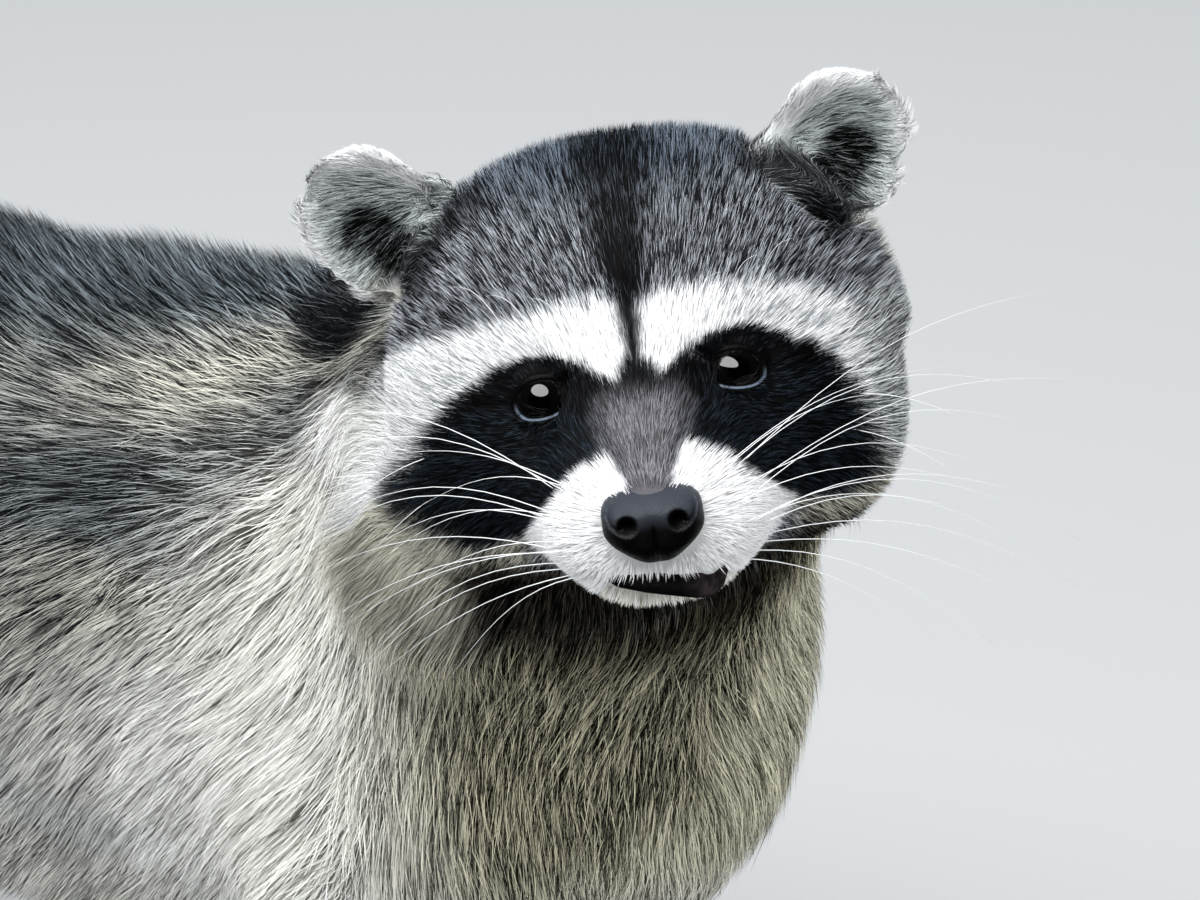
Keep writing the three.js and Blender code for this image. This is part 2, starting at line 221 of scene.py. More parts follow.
@dataclass(frozen=True)
class HeadAxes:
    """The head's place and turn: the origin is between the eyes, X forward, Y to its left, Z up."""

    turn_deg: float = -49.8
    nod_deg: float = 3.0
    tilt_deg: float = 8.4
    eye_ahead: float = 7 * MM
    face_lean_deg: float = 14.0

    @property
    def matrix(self) -> Array:
        """The axes as the columns of a turning matrix."""
        angles = (math.radians(self.tilt_deg), -math.radians(self.nod_deg), math.radians(self.turn_deg))
        return np.array(Euler(angles, "XYZ").to_matrix())

    @property
    def origin(self) -> Array:
        """The place midway between the eyes, set back to where the head's sizes start."""
        middles = [np.mean([np.array(corner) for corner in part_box(f"eye_{side}")], axis=0) for side in SIDES]
        return np.mean(middles, axis=0) - self.matrix[:, 0] * self.eye_ahead

    def local(self, points: Array) -> Array:
        """Places in the head's axes, in millimetres."""
        return (points - self.origin) @ self.matrix / MM

    def world(self, points: Array) -> Array:
        """Places given in the head's axes in millimetres, in the frame."""
        return np.asarray(points, float) * MM @ self.matrix.T + self.origin

    def turned(self, directions: Array) -> Array:
        """Directions given in the head's axes, in the frame."""
        return np.asarray(directions, float) @ self.matrix.T

    def face_plan(self, local: Array) -> tuple[Array, Array]:
        """Places on a plan of the face seen square on and slightly from above.

        Args:
            local: places in the head's axes, in millimetres.

        Returns:
            How far out from the middle line, and how far above the eyes, in millimetres.
        """
        lean = math.radians(self.face_lean_deg)
        return np.abs(local[:, 1]), local[:, 2] * math.cos(lean) - local[:, 0] * math.sin(lean)


@dataclass(frozen=True)
class EarAxes:
    """An ear's line from root to tip in the head's axes, in millimetres, and how wide it stands."""

    root: tuple[float, float, float]
    tip: tuple[float, float, float]
    half_width: float = 21.5

    def plan(self, local: Array) -> tuple[Array, Array]:
        """Places in the ear's own axes.

        Args:
            local: places in the head's axes, in millimetres.

        Returns:
            The share of the way to the tip, and the place across as -1 to 1 (1 on the outer side).
        """
        rel = local - self.root
        return rel @ self.axis / self.long, rel @ self.outward / self.half_width

    @property
    def long(self) -> float:
        """The length of the ear's line."""
        return float(np.linalg.norm(np.array(self.tip) - self.root))

    @property
    def axis(self) -> Array:
        """The direction from root to tip."""
        return (np.array(self.tip) - self.root) / self.long

    @property
    def outward(self) -> Array:
        """The direction across the ear to its outer edge."""
        return unit(np.cross(self.axis, [1.0, 0.0, 0.0])) * (1 if self.root[1] > 0 else -1)

    def owns(self, local: Array) -> Array:
        """Which places are on this ear's side of the head."""
        return (local[:, 1] > 0) == (self.root[1] > 0)

    def rim(self, local: Array) -> Array:
        """How near places are to the ear's rim.

        Args:
            local: places in the head's axes, in millimetres.

        Returns:
            Shares from 0 in the hollow's middle to 1 on the rim.
        """
        rise, across = self.plan(local)
        near = np.hypot(across / 0.92, np.maximum(rise - 0.45, 0) / 0.6)
        return near * ease(rise + 0.2 * across, 0.25, 0.45)

    def clear(self, local: Array) -> Array:
        """Which places are on the ear where it stands clear of the skull."""
        rise, across = self.plan(local)
        return (rise > 0.36 - 0.15 * across) & (np.abs(across) < 1.14)


HEAD = HeadAxes()
EARS = {"left": EarAxes((-49, 40, 13), (-51, 70, 59)), "right": EarAxes((-49, -42, 13), (-51, -78, 56))}
EYE_OUT = 23.5  # how far out the middle of each eye is, mm
EYE_AHEAD = 7.0  # how far ahead of the head's own origin it is, mm
EYE_TURN_DEG = 12.0
EYE_LIFT_DEG = 18.0
EYE_LIFT_MORE_DEG = 3.0  # on its left
EYE_RADIUS = 7.9
EYE_REACH = 17.0  # how far from its middle an eye shapes the skin, mm
NOSE_AT = np.array([50.5, -0.6, -22.6])
LEFT_RIGHT = (1, -1)  # the sides as signs: the animal's left is positive


def eye_middle(side: int) -> Array:
    """The middle of an eye in the head's axes, in millimetres; side is 1 on its left."""
    return np.array([EYE_AHEAD, side * EYE_OUT, 0.0])


# ------ the skin


class Zone(Enum):
    """The lengths of coat: each is worn by one or more of the solids."""

    TRUNK = ("trunk",)
    NECK = ("neck",)
    HEAD = ("head",)
    MUZZLE = ("muzzle",)
    JAW = ("lower_jaw",)
    EAR = ("ear_left", "ear_right")
    TAIL = TAIL
    FRONT_LEG = ("front_leg_left", "front_leg_right")
    HIND_LEG = ("hind_leg_left", "hind_leg_right")
    FRONT_PAW = ("front_paw_left", "front_paw_right")
    HIND_FOOT = ("hind_foot_left", "hind_foot_right")


ZONES = list(Zone)
FLESH = tuple(node for zone in Zone for node in zone.value)


def worn(zones: Array, *wanted: Zone) -> Array:
    """How far each place belongs to the wanted zones, from its shares of them all."""
    return sum(zones[:, ZONES.index(zone)] for zone in wanted)


@dataclass(frozen=True)
class Fur:
    """One length of coat, in millimetres: its depth, its hairs and how thickly they stand."""

    depth: float
    length: float
    width: float
    per_square: float  # locks on each square millimetre
    clump: float  # how far apart the locks' gathering places are
    gather: float  # how far the tips come together
    stray: float  # how far hairs wander sideways, as a share of their length


FURS = {
    Zone.TRUNK: Fur(19.0, 27.0, 0.36, 1.18, 4.5, 0.42, 0.15),
    Zone.NECK: Fur(17.0, 28.0, 0.32, 1.75, 4.0, 0.42, 0.20),
    Zone.HEAD: Fur(9.0, 9.5, 0.21, 3.90, 1.6, 0.20, 0.14),
    Zone.MUZZLE: Fur(2.4, 5.5, 0.18, 4.40, 1.2, 0.16, 0.12),
    Zone.JAW: Fur(4.0, 8.0, 0.22, 3.20, 1.8, 0.32, 0.16),
    Zone.EAR: Fur(1.0, 7.5, 0.19, 4.20, 2.0, 0.34, 0.20),
    Zone.TAIL: Fur(17.0, 30.0, 0.40, 1.00, 4.5, 0.50, 0.16),
    Zone.FRONT_LEG: Fur(6.5, 14.0, 0.32, 1.40, 3.0, 0.42, 0.14),
    Zone.HIND_LEG: Fur(8.0, 17.0, 0.34, 1.20, 3.5, 0.45, 0.14),
    Zone.FRONT_PAW: Fur(1.6, 5.0, 0.26, 1.40, 1.6, 0.28, 0.12),
    Zone.HIND_FOOT: Fur(1.6, 5.5, 0.28, 1.20, 1.6, 0.28, 0.12),
}


class Net:
    """Points joined by edges, for smoothing over a surface and walking along it."""

    RING = 10  # how many neighbours are kept for a walk
    STEP_IN = 0.55
    STEP_OUT = -0.58

    def __init__(self, edges: Array, count: int) -> None:
        """Keeps both directions of each edge.

        Args:
            edges: pairs of point numbers.
            count: how many points there are.
        """
        self.count = count
        self.near = np.concatenate([edges[:, 0], edges[:, 1]])
        self.far = np.concatenate([edges[:, 1], edges[:, 0]])
        self.degree = np.maximum(np.bincount(self.near, minlength=count), 1)

    def mean(self, values: Array) -> Array:
        """The mean of each point's neighbours, column by column.

        Args:
            values: one row for each point.

        Returns:
            The means, in the same shape.
        """
        flat = values.reshape(self.count, -1)
        sums = [np.bincount(self.near, column[self.far], self.count) for column in flat.T]
        return (np.stack(sums, axis=1) / self.degree[:, None]).reshape(values.shape)

    def smooth(self, values: Array, rounds: int, share: float = 0.5) -> Array:
        """Values moved towards their neighbours' mean.

        Args:
            values: one row for each point.
            rounds: how many times.
            share: how far each time.

        Returns:
            The smoothed values.
        """
        for _ in range(rounds):
            values = values + share * (self.mean(values) - values)
        return values

    def relax(self, points: Array, rounds: int) -> Array:
        """Points smoothed without shrinking, by turns in and out.

        Args:
            points: one row for each point.
            rounds: how many times.

        Returns:
            The smoothed places.
        """
        for _ in range(rounds):
            points = self.smooth(points, 1, self.STEP_IN)
            points = self.smooth(points, 1, self.STEP_OUT)
        return points

    def ring(self) -> Array:
        """Each point's neighbours in a table.

        Returns:
            One row for each point: the point itself, its neighbours, and itself again in unused places.
        """
        order = np.argsort(self.near, kind="stable")
        near = self.near[order]
        far = self.far[order]
        starts = np.cumsum(self.degree) - self.degree
        rank = np.arange(len(near)) - starts[near]
        table = np.repeat(np.arange(self.count)[:, None], self.RING + 1, axis=1)
        kept = rank < self.RING
        table[near[kept], rank[kept] + 1] = far[kept]
        return table


def mesh_arrays(mesh: bpy.types.Mesh) -> tuple[Array, Array, Array, Array]:
    """A mesh as arrays.

    Args:
        mesh: the mesh.

    Returns:
        Its points, triangles, edges and point normals.
    """
    mesh.calc_loop_triangles()
    points = np.empty(len(mesh.vertices) * 3, np.float32)
    mesh.vertices.foreach_get("co", points)
    triangles = np.empty(len(mesh.loop_triangles) * 3, np.int32)
    mesh.loop_triangles.foreach_get("vertices", triangles)
    edges = np.empty(len(mesh.edges) * 2, np.int32)
    mesh.edges.foreach_get("vertices", edges)
    normals = np.empty(len(mesh.vertices) * 3, np.float32)
    mesh.vertex_normals.foreach_get("vector", normals)
    places = points.reshape(-1, 3).astype(float)
    directions = normals.reshape(-1, 3).astype(float)
    return places, triangles.reshape(-1, 3), edges.reshape(-1, 2), directions


def point_normals(points: Array, triangles: Array) -> tuple[Array, Array]:
    """The way a surface faces, and how large its faces are.

    Args:
        points: the surface's places.
        triangles: the numbers of each face's three points.

    Returns:
        Unit normals at the points, and each triangle's area.
    """
    a, b, c = (points[triangles[:, k]] for k in range(3))
    cross = np.cross(b - a, c - a)
    total = np.zeros((len(points), 3))
    for corner in triangles.T:
        for axis in range(3):
            total[:, axis] += np.bincount(corner, cross[:, axis], len(points))
    return unit(total), np.linalg.norm(cross, axis=1) / 2


@dataclass
class Skin:
    """The one skin over the whole body, with the fields that the coat reads: depth, lie and zones."""

    voxel: float = 2.66 * MM
    grow: float = 0.25 * MM
    grow_ear: float = 0.5 * MM
    relax_rounds: int = 9
    zone_rounds: int = 10
    ear_root_rounds: int = 50
    ear_rounds: int = 22
    trunk_rounds: int = 60
    thin_share: float = 0.3  # the most of the body's thickness that the coat takes up
    far: float = 0.2  # how deep the search for the body's other side looks, metres
    # Where the faces are halved: a middle in the head's axes and how far round it, in millimetres.
    fine_face: tuple[tuple[float, float, float], float] = ((22, 0, -12), 46)
    fine_eye: float = 15
    fine_ear: float = 42

    def wrap(self) -> Object:
        """Joins the solids, eyes and nose filled in, and draws one even surface round them.

        Returns:
            The surface as an object with clean four-sided faces.
        """
        bm = bmesh.new()
        for node in FLESH + ("nose", "eye_left", "eye_right"):
            part = bmesh.new()
            part.from_mesh(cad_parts[node].data)
            bmesh.ops.remove_doubles(part, verts=part.verts, dist=0.01 * MM)
            part.normal_update()
            grow = self.grow_ear if node in Zone.EAR.value else self.grow
            for vert in part.verts:
                vert.co += vert.normal * grow
            grown = bpy.data.meshes.new(node)
            part.to_mesh(grown)
            part.free()
            bm.from_mesh(grown)
            bpy.data.meshes.remove(grown)
        mesh = bpy.data.meshes.new("skin_solid")
        bm.to_mesh(mesh)
        bm.free()
        solid = add_object("skin_solid", mesh)
        remesh = solid.modifiers.new("even", "REMESH")
        remesh.mode = "VOXEL"
        remesh.voxel_size = self.voxel
        depsgraph = bpy.context.evaluated_depsgraph_get()
        even = bpy.data.meshes.new_from_object(solid.evaluated_get(depsgraph))
        bpy.data.objects.remove(solid)
        return add_object("skin", even)

    def refine(self, skin: Object) -> None:
        """Keeps the largest shell and halves its faces round the eyes, nose and ears, where folds are finer.

        Args:
            skin: the even surface, changed in place.
        """
        bm = bmesh.new()
        bm.from_mesh(skin.data)
        shells = []
        seen = set()
        for start in bm.verts:
            if start in seen:
                continue
            shell = [start]
            seen.add(start)
            for vert in shell:
                for edge in vert.link_edges:
                    other = edge.other_vert(vert)
                    if other not in seen:
                        seen.add(other)
                        shell.append(other)
            shells.append(shell)
        largest = max(shells, key=len)
        for shell in shells:
            if shell is not largest:
                bmesh.ops.delete(bm, geom=shell, context="VERTS")
        eyes = [(eye_middle(side), self.fine_eye) for side in LEFT_RIGHT]
        ears = [((np.array(ear.root) + ear.tip) / 2 + ear.axis * 5, self.fine_ear) for ear in EARS.values()]
        for middle, radius in [self.fine_face, *eyes, *ears]:
            centre = Vector(HEAD.world([middle])[0])
            edges = [e for e in bm.edges if (e.verts[0].co - centre).length < radius * MM]
            bmesh.ops.subdivide_edges(bm, edges=edges, cuts=1, use_grid_fill=True)
        bmesh.ops.triangulate(bm, faces=[f for f in bm.faces if len(f.verts) > 4])
        bm.to_mesh(skin.data)
        bm.free()

    def build(self) -> Object:
        """Makes the skin and its fields.

        Returns:
            The skin, without its finish.
        """
        skin = self.wrap()
        self.refine(skin)
        points, self.triangles, edges, _ = mesh_arrays(skin.data)
        self.net = Net(edges, len(points))
        self.hull = self.net.relax(points, self.relax_rounds)
        self.zones = self.find_zones(self.hull)
        ear = self.share(Zone.EAR)
        base = (ease(ear, 0.01, 0.15) * ease(ear, 0.95, 0.6))[:, None]
        self.hull = self.hull + base * (self.net.smooth(self.hull, self.ear_root_rounds) - self.hull)
        blade = ease(ear, 0.2, 0.7)[:, None]
        self.hull = self.hull + blade * (self.net.smooth(self.hull, self.ear_rounds) - self.hull)
        normals, _ = point_normals(self.hull, self.triangles)
        self.local = HEAD.local(self.hull)
        self.depth = self.find_depth(normals)
        self.points = self.inset(normals)
        self.shape_sockets()
        self.tree = BVHTree.FromPolygons(self.points.tolist(), self.triangles.tolist())
        self.normals, self.areas = point_normals(self.points, self.triangles)
        self.normals = unit(self.net.smooth(self.normals, 2))
        self.lie = self.find_lie()
        self.ring = self.net.ring()
        skin.data.vertices.foreach_set("co", self.points.astype(np.float32).ravel())
        skin.data.update()
        skin.data.polygons.foreach_set("use_smooth", np.ones(len(skin.data.polygons), bool))
        return skin

    def find_zones(self, points: Array) -> Array:
        """The share of each zone at each point, softened where zones meet.

        Args:
            points: places on the outline.

        Returns:
            One row for each point and one column for each zone.
        """
        corners: list[Vector] = []
        faces: list[tuple[int, ...]] = []
        owner: list[int] = []
        for number, zone in enumerate(ZONES):
            for node in zone.value:
                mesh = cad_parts[node].data
                base = len(corners)
                corners.extend(vert.co.copy() for vert in mesh.vertices)
                faces.extend(tuple(base + index for index in face.vertices) for face in mesh.polygons)
                owner.extend([number] * len(mesh.polygons))
        tree = BVHTree.FromPolygons(corners, faces)
        nearest = np.array([owner[tree.find_nearest(point)[2]] for point in points.tolist()])
        local = HEAD.local(points)
        on_ear = np.where(local[:, 1] > 0, EARS["left"].clear(local), EARS["right"].clear(local))
        nearest[(nearest == ZONES.index(Zone.EAR)) & ~on_ear] = ZONES.index(Zone.HEAD)
        return self.net.smooth(np.eye(len(ZONES))[nearest], self.zone_rounds)

    def share(self, *zones: Zone) -> Array:
        """How far each point belongs to the given zones."""
        return worn(self.zones, *zones)

    def field(self, name: str) -> Array:
        """One of the fur's sizes at each point, in millimetres."""
        return self.zones @ np.array([getattr(FURS[zone], name) for zone in ZONES])

    def head_depth(self) -> Array:
        """The coat's depth over the head: thin on the face, deep on the cheeks and nape.

        Returns:
            Millimetres at each point.
        """
        ahead = self.local[:, 0]
        out, above = HEAD.face_plan(self.local)
        depth = 5.0 + 6.0 * ease(ahead, -10, -60)
        depth = depth + 6.0 * ease(out, 40, 62) * ease(above, 4, -16) * ease(ahead, -70, -20)
        depth = np.minimum(depth, 1.8 + 0.11 * np.maximum(np.hypot(out * 0.9, above + 10) - 14, 0))
        depth = depth + 2.0 * ease(above, 24, 44) * ease(ahead, 10, -20)
        for side in LEFT_RIGHT:
            gap = np.linalg.norm(self.local - eye_middle(side), axis=1)
            depth = np.minimum(depth, 1.2 + 0.16 * np.maximum(gap - 8, 0))
        return np.where(ahead > 0, depth, np.maximum(depth, 4.0 + 5.0 * ease(ahead, 0, -55)))

    def find_depth(self, normals: Array) -> Array:
        """How deep the coat lies at each point, in metres.

        Args:
            normals: the outline's normals.

        Returns:
            The depth, never more than a share of the body's own thickness.
        """
        depth = self.field("depth")
        head = self.share(Zone.HEAD, Zone.MUZZLE, Zone.JAW)
        own = np.where(self.share(Zone.HEAD) > self.share(Zone.MUZZLE, Zone.JAW), self.head_depth(), depth)
        depth = depth * (1 - head) + own * head
        tree = BVHTree.FromPolygons(self.hull.tolist(), self.triangles.tolist())
        thick = np.full(len(depth), self.far)
        starts = (self.hull - normals * 0.4 * MM).tolist()
        for index, (start, inward) in enumerate(zip(starts, (-normals).tolist())):
            distance = tree.ray_cast(start, inward, self.far)[3]
            if distance is not None:
                thick[index] = distance
        thick = self.net.smooth(thick, 6)
        return self.net.smooth(np.minimum(depth * MM, self.thin_share * thick), 8)

    def inset(self, normals: Array) -> Array:
        """Draws the outline in by the coat's depth, and softens the trunk's and neck's folds.

        Args:
            normals: the outline's normals.

        Returns:
            The skin's places.
        """
        outward = unit(self.net.smooth(normals, 8))
        points = self.net.relax(self.hull - outward * self.depth[:, None], 3)
        body = self.share(Zone.TRUNK, Zone.NECK)[:, None]
        return points + body * (self.net.smooth(points, self.trunk_rounds) - points)

    def shape_sockets(self) -> None:
        """Lays the skin over each eyeball as lids, and draws it in behind their opening."""
        local = HEAD.local(self.points)
        for side in (-1, 1):
            middle = eye_middle(side)
            reach, _, past_rim = eye_plan(side, local)
            cover = LIDS.surface / np.cos(np.radians(np.clip(past_rim, 0, 58)))
            near = ease(past_rim, 62, 44) * (reach < EYE_REACH)
            lid = np.where(near > 0, reach + near * (np.maximum(reach, cover) - reach), reach)
            inside = ease(past_rim, 4.0, 0.5) * (reach < EYE_REACH)
            target = lid + inside * (np.minimum(reach, LIDS.behind) - lid)
            local = middle + (local - middle) * (target / np.maximum(reach, 1e-9))[:, None]
        self.points = HEAD.world(local)

    def find_lie(self) -> Array:
        """The way the hairs lie at each point.

        Returns:
            Unit directions along the skin, from root to tip.
        """
        lie = np.zeros_like(self.points)
        for number, zone in enumerate(ZONES):
            lie += self.zones[:, number, None] * unit(LIES[zone](self))
        for _ in range(12):
            lie = lie - self.normals * along(lie, self.normals)
            lie = self.net.smooth(unit(lie), 1)
        return unit(lie - self.normals * along(lie, self.normals))


def eye_axes(side: int) -> Array:
    """An eye's forward, left and up directions in the head's axes, as columns; side is 1 on its left."""
    lift = math.radians(EYE_LIFT_DEG + side * EYE_LIFT_MORE_DEG)
    return np.array(Euler((0, -lift, math.radians(side * EYE_TURN_DEG)), "XYZ").to_matrix())


def eye_plan(side: int, local: Array) -> tuple[Array, Array, Array]:
    """Places as seen from inside an eye.

    Args:
        side: 1 for the left eye, -1 for the right.
        local: places in the head's axes, in millimetres.

    Returns:
        The distance from the eye's middle, the turn round its front, and the degrees past the lids' rim.
    """
    own = (local - eye_middle(side)) @ eye_axes(side)
    turn = np.arctan2(own[:, 2], own[:, 1])
    lean = np.degrees(np.arctan2(np.hypot(own[:, 1], own[:, 2]), own[:, 0]))
    return np.linalg.norm(own, axis=1), turn, lean - lid_rim_deg(side, turn)


def lid_rim_deg(side: int, turn: Array) -> Array:
    """How far from the eye's front the lids' rim lies.

    Args:
        side: 1 for the left eye, -1 for the right.
        turn: the turn round the eye's front, in radians from its left.

    Returns:
        Degrees.
    """
    turn = turn + side * math.radians(LIDS.corner_drop_deg)
    across, up = np.cos(turn), np.sin(turn)
    high = np.where(up > 0, LIDS.half_high, LIDS.half_low)
    flat = (np.abs(across) / LIDS.half_wide) ** 2.1 + (np.abs(up) / high) ** 2.1
    reach = flat ** (-1 / 2.1) + LIDS.tear_corner * ease(-across * side, 0.8, 1.0)
    return np.degrees(np.arcsin(np.clip(reach / EYE_RADIUS, 0, 0.95)))


@dataclass(frozen=True)
class LidSizes:
    """The lids' opening and thickness, in millimetres."""

    half_wide: float = 7.1
    half_high: float = 4.9
    half_low: float = 4.5
    tear_corner: float = 0.5
    corner_drop_deg: float = 9.0
    surface: float = 8.8  # the lids' outside from the eye's middle
    behind: float = 6.6  # the skin behind the opening, from the eye's middle


LIDS = LidSizes()


# ------ the lie of the fur


def lie_trunk(skin: Skin) -> Array:
    """Back along the spine, down the flanks, and straight down the chest.

    Args:
        skin: the skin.

    Returns:
        A direction of any length at each point.
    """
    x, _, z = skin.points.T
    chest = ease(x, 0.16, 0.25)
    down = 0.15 + 0.85 * ease(z, 0.27, 0.14) + 1.6 * chest + 0.6 * ease(x, -0.08, -0.14)
    return np.stack([-1.0 + 0.9 * chest, np.zeros_like(x), -down], axis=1)


def lie_neck(skin: Skin) -> Array:
    """Away from the head: back over the shoulders and down the throat and chest.

    Args:
        skin: the skin.

    Returns:
        A direction of any length at each point.
    """
    y = skin.points[:, 1]
    front = np.maximum(ease(-skin.normals @ HEAD.matrix[:, 0], 0.2, -0.7), ease(skin.normals[:, 0], 0.0, 0.6))
    return np.stack([-1.1 + 1.05 * front, 0.25 * np.sign(y), -0.40 - 0.75 * front], axis=1)


def lie_head(skin: Skin) -> Array:
    """Out and back from the nose over the whole head, and round the eyes rather than over them.

    Args:
        skin: the skin.

    Returns:
        A direction of any length at each point.
    """
    local = HEAD.local(skin.points)
    away = local - (NOSE_AT + (4, 0, 0))
    out, above = HEAD.face_plan(local)
    away = unit(away) + np.array([-0.25, 0, 0])
    low = ease(above, 0, -30) * ease(out, 20, 50)
    away[:, 2] -= 0.7 * low
    away[:, 1] += 0.3 * low * np.sign(local[:, 1])
    for side in (-1, 1):
        rel = local - eye_middle(side)
        reach = np.linalg.norm(rel, axis=1)
        away += unit(rel) * (1.8 * ease(reach, EYE_REACH, 9))[:, None]
    return HEAD.turned(away)


def lie_ears(skin: Skin) -> Array:
    """Up the back of each ear, and over the hollow from its inner edge out past the rim.

    Args:
        skin: the skin.

    Returns:
        A direction of any length at each point.
    """
    local = HEAD.local(skin.points)
    total = np.zeros_like(local)
    front = ease(skin.normals @ HEAD.matrix[:, 0], 0.1, 0.6)[:, None]
    for ear in EARS.values():
        rise, across = ear.plan(local)
        axis, outward = ear.axis, ear.outward
        spread = across[:, None] * outward + ease(rise, 0.45, 1.0)[:, None] * axis
        over = (across + 1.1)[:, None] * outward * ear.half_width + (rise - 0.42)[:, None] * axis * ear.long
        over = unit(over)
        rim = ease(ear.rim(local), 0.74, 0.92)[:, None]
        inner = over + rim * (1.2 * unit(spread) - 0.6 * over)
        outer = axis + 0.8 * spread
        total += ear.owns(local)[:, None] * (outer + front * (inner - outer))
    return HEAD.turned(total)


def lie_tail(skin: Skin) -> Array:
    """Along the tail to its tip.

    Args:
        skin: the skin.

    Returns:
        A direction of any length at each point.
    """
    spine = tail_spine()
    nearest = np.argmin(np.abs(skin.points[:, 0, None] - spine[None, :, 0]), axis=1)
    return unit(np.gradient(spine, axis=0))[nearest]


def lie_leg(skin: Skin) -> Array:
    """Down the leg and a little back."""
    return np.tile([-0.25, 0.0, -1.0], (len(skin.points), 1))


def lie_foot(skin: Skin) -> Array:
    """Forward along the foot to the toes."""
    return np.tile([1.0, 0.0, -0.45], (len(skin.points), 1))


def tail_spine() -> Array:
    """The tail's middle line, from the ends and middles of its solids.

    Returns:
        Evenly spaced places from rump to tip.
    """
    boxes = [np.array(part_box(node)) for node in TAIL]
    knots = [(box[0] + box[1]) / 2 for box in boxes]
    start = np.array([boxes[0][1][0], knots[0][1], boxes[0][1][2] - TAIL_ROOT_DROP])
    end = np.array([boxes[-1][0][0], knots[-1][1], knots[-1][2] - TAIL_TIP_DROP])
    line = np.array([start, *knots, end])
    span = np.linspace(0, 1, len(line))
    fine = np.linspace(0, 1, 60)
    return np.stack([np.interp(fine, span, line[:, k]) for k in range(3)], axis=1)


LIES: dict[Zone, Callable[[Skin], Array]] = {
    Zone.TRUNK: lie_trunk,
    Zone.NECK: lie_neck,
    Zone.HEAD: lie_head,
    Zone.MUZZLE: lie_head,
    Zone.JAW: lie_head,
    Zone.EAR: lie_ears,
    Zone.TAIL: lie_tail,
    Zone.FRONT_LEG: lie_leg,
    Zone.HIND_LEG: lie_leg,
    Zone.FRONT_PAW: lie_foot,
    Zone.HIND_FOOT: lie_foot,
}


# ------ markings


Amount = Array | float
Hair = Array | tuple[float, float, float]


@dataclass
class Paint:
    """Hair colours laid on places one over the other.

    There is a dark and a pale hair, the share of pale ones, and how far those are pale at their tips alone.
    """

    dark: Array
    pale: Array
    share: Array
    tipped: Array

    @classmethod
    def ground(cls, count: int) -> "Paint":
        """Bare paint for a number of places."""
        return cls(np.zeros((count, 3)), np.zeros((count, 3)), np.zeros(count), np.zeros(count))

    def lay(self, where: Amount, dark: Hair, pale: Hair, share: Amount, tipped: Amount = 0.0) -> None:
        """Lays further colours over the ones below.

        Args:
            where: how strongly, from 0 to 1, at each place.
            dark: the dark hairs' colour, from 0 to 255, or a row of light values for each place.
            pale: the pale hairs' colour, in the same way.
            share: the share of pale hairs.
            tipped: how far the pale hairs are dark below their tips.
        """
        dark, pale = (tone(*hair) if isinstance(hair, tuple) else hair for hair in (dark, pale))
        cover = np.clip(where, 0, 1) * np.ones(len(self.share))
        self.dark += cover[:, None] * (dark - self.dark)
        self.pale += cover[:, None] * (pale - self.pale)
        self.share += cover * (share - self.share)
        self.tipped += cover * (tipped - self.tipped)

    def mean(self) -> Array:
        """The colour that the hairs come to from far off."""
        pale = self.share * (1 - 0.5 * self.tipped)
        return self.dark + pale[:, None] * (self.pale - self.dark)


@dataclass(frozen=True)
class Outline:
    """A marking's edge over the face: how high it runs for each distance out from the middle, mm."""

    out: tuple[float, ...]
    above: tuple[float, ...]

    def at(self, out: Array) -> Array:
        """The edge's height at each distance out."""
        return np.interp(out, self.out, self.above)


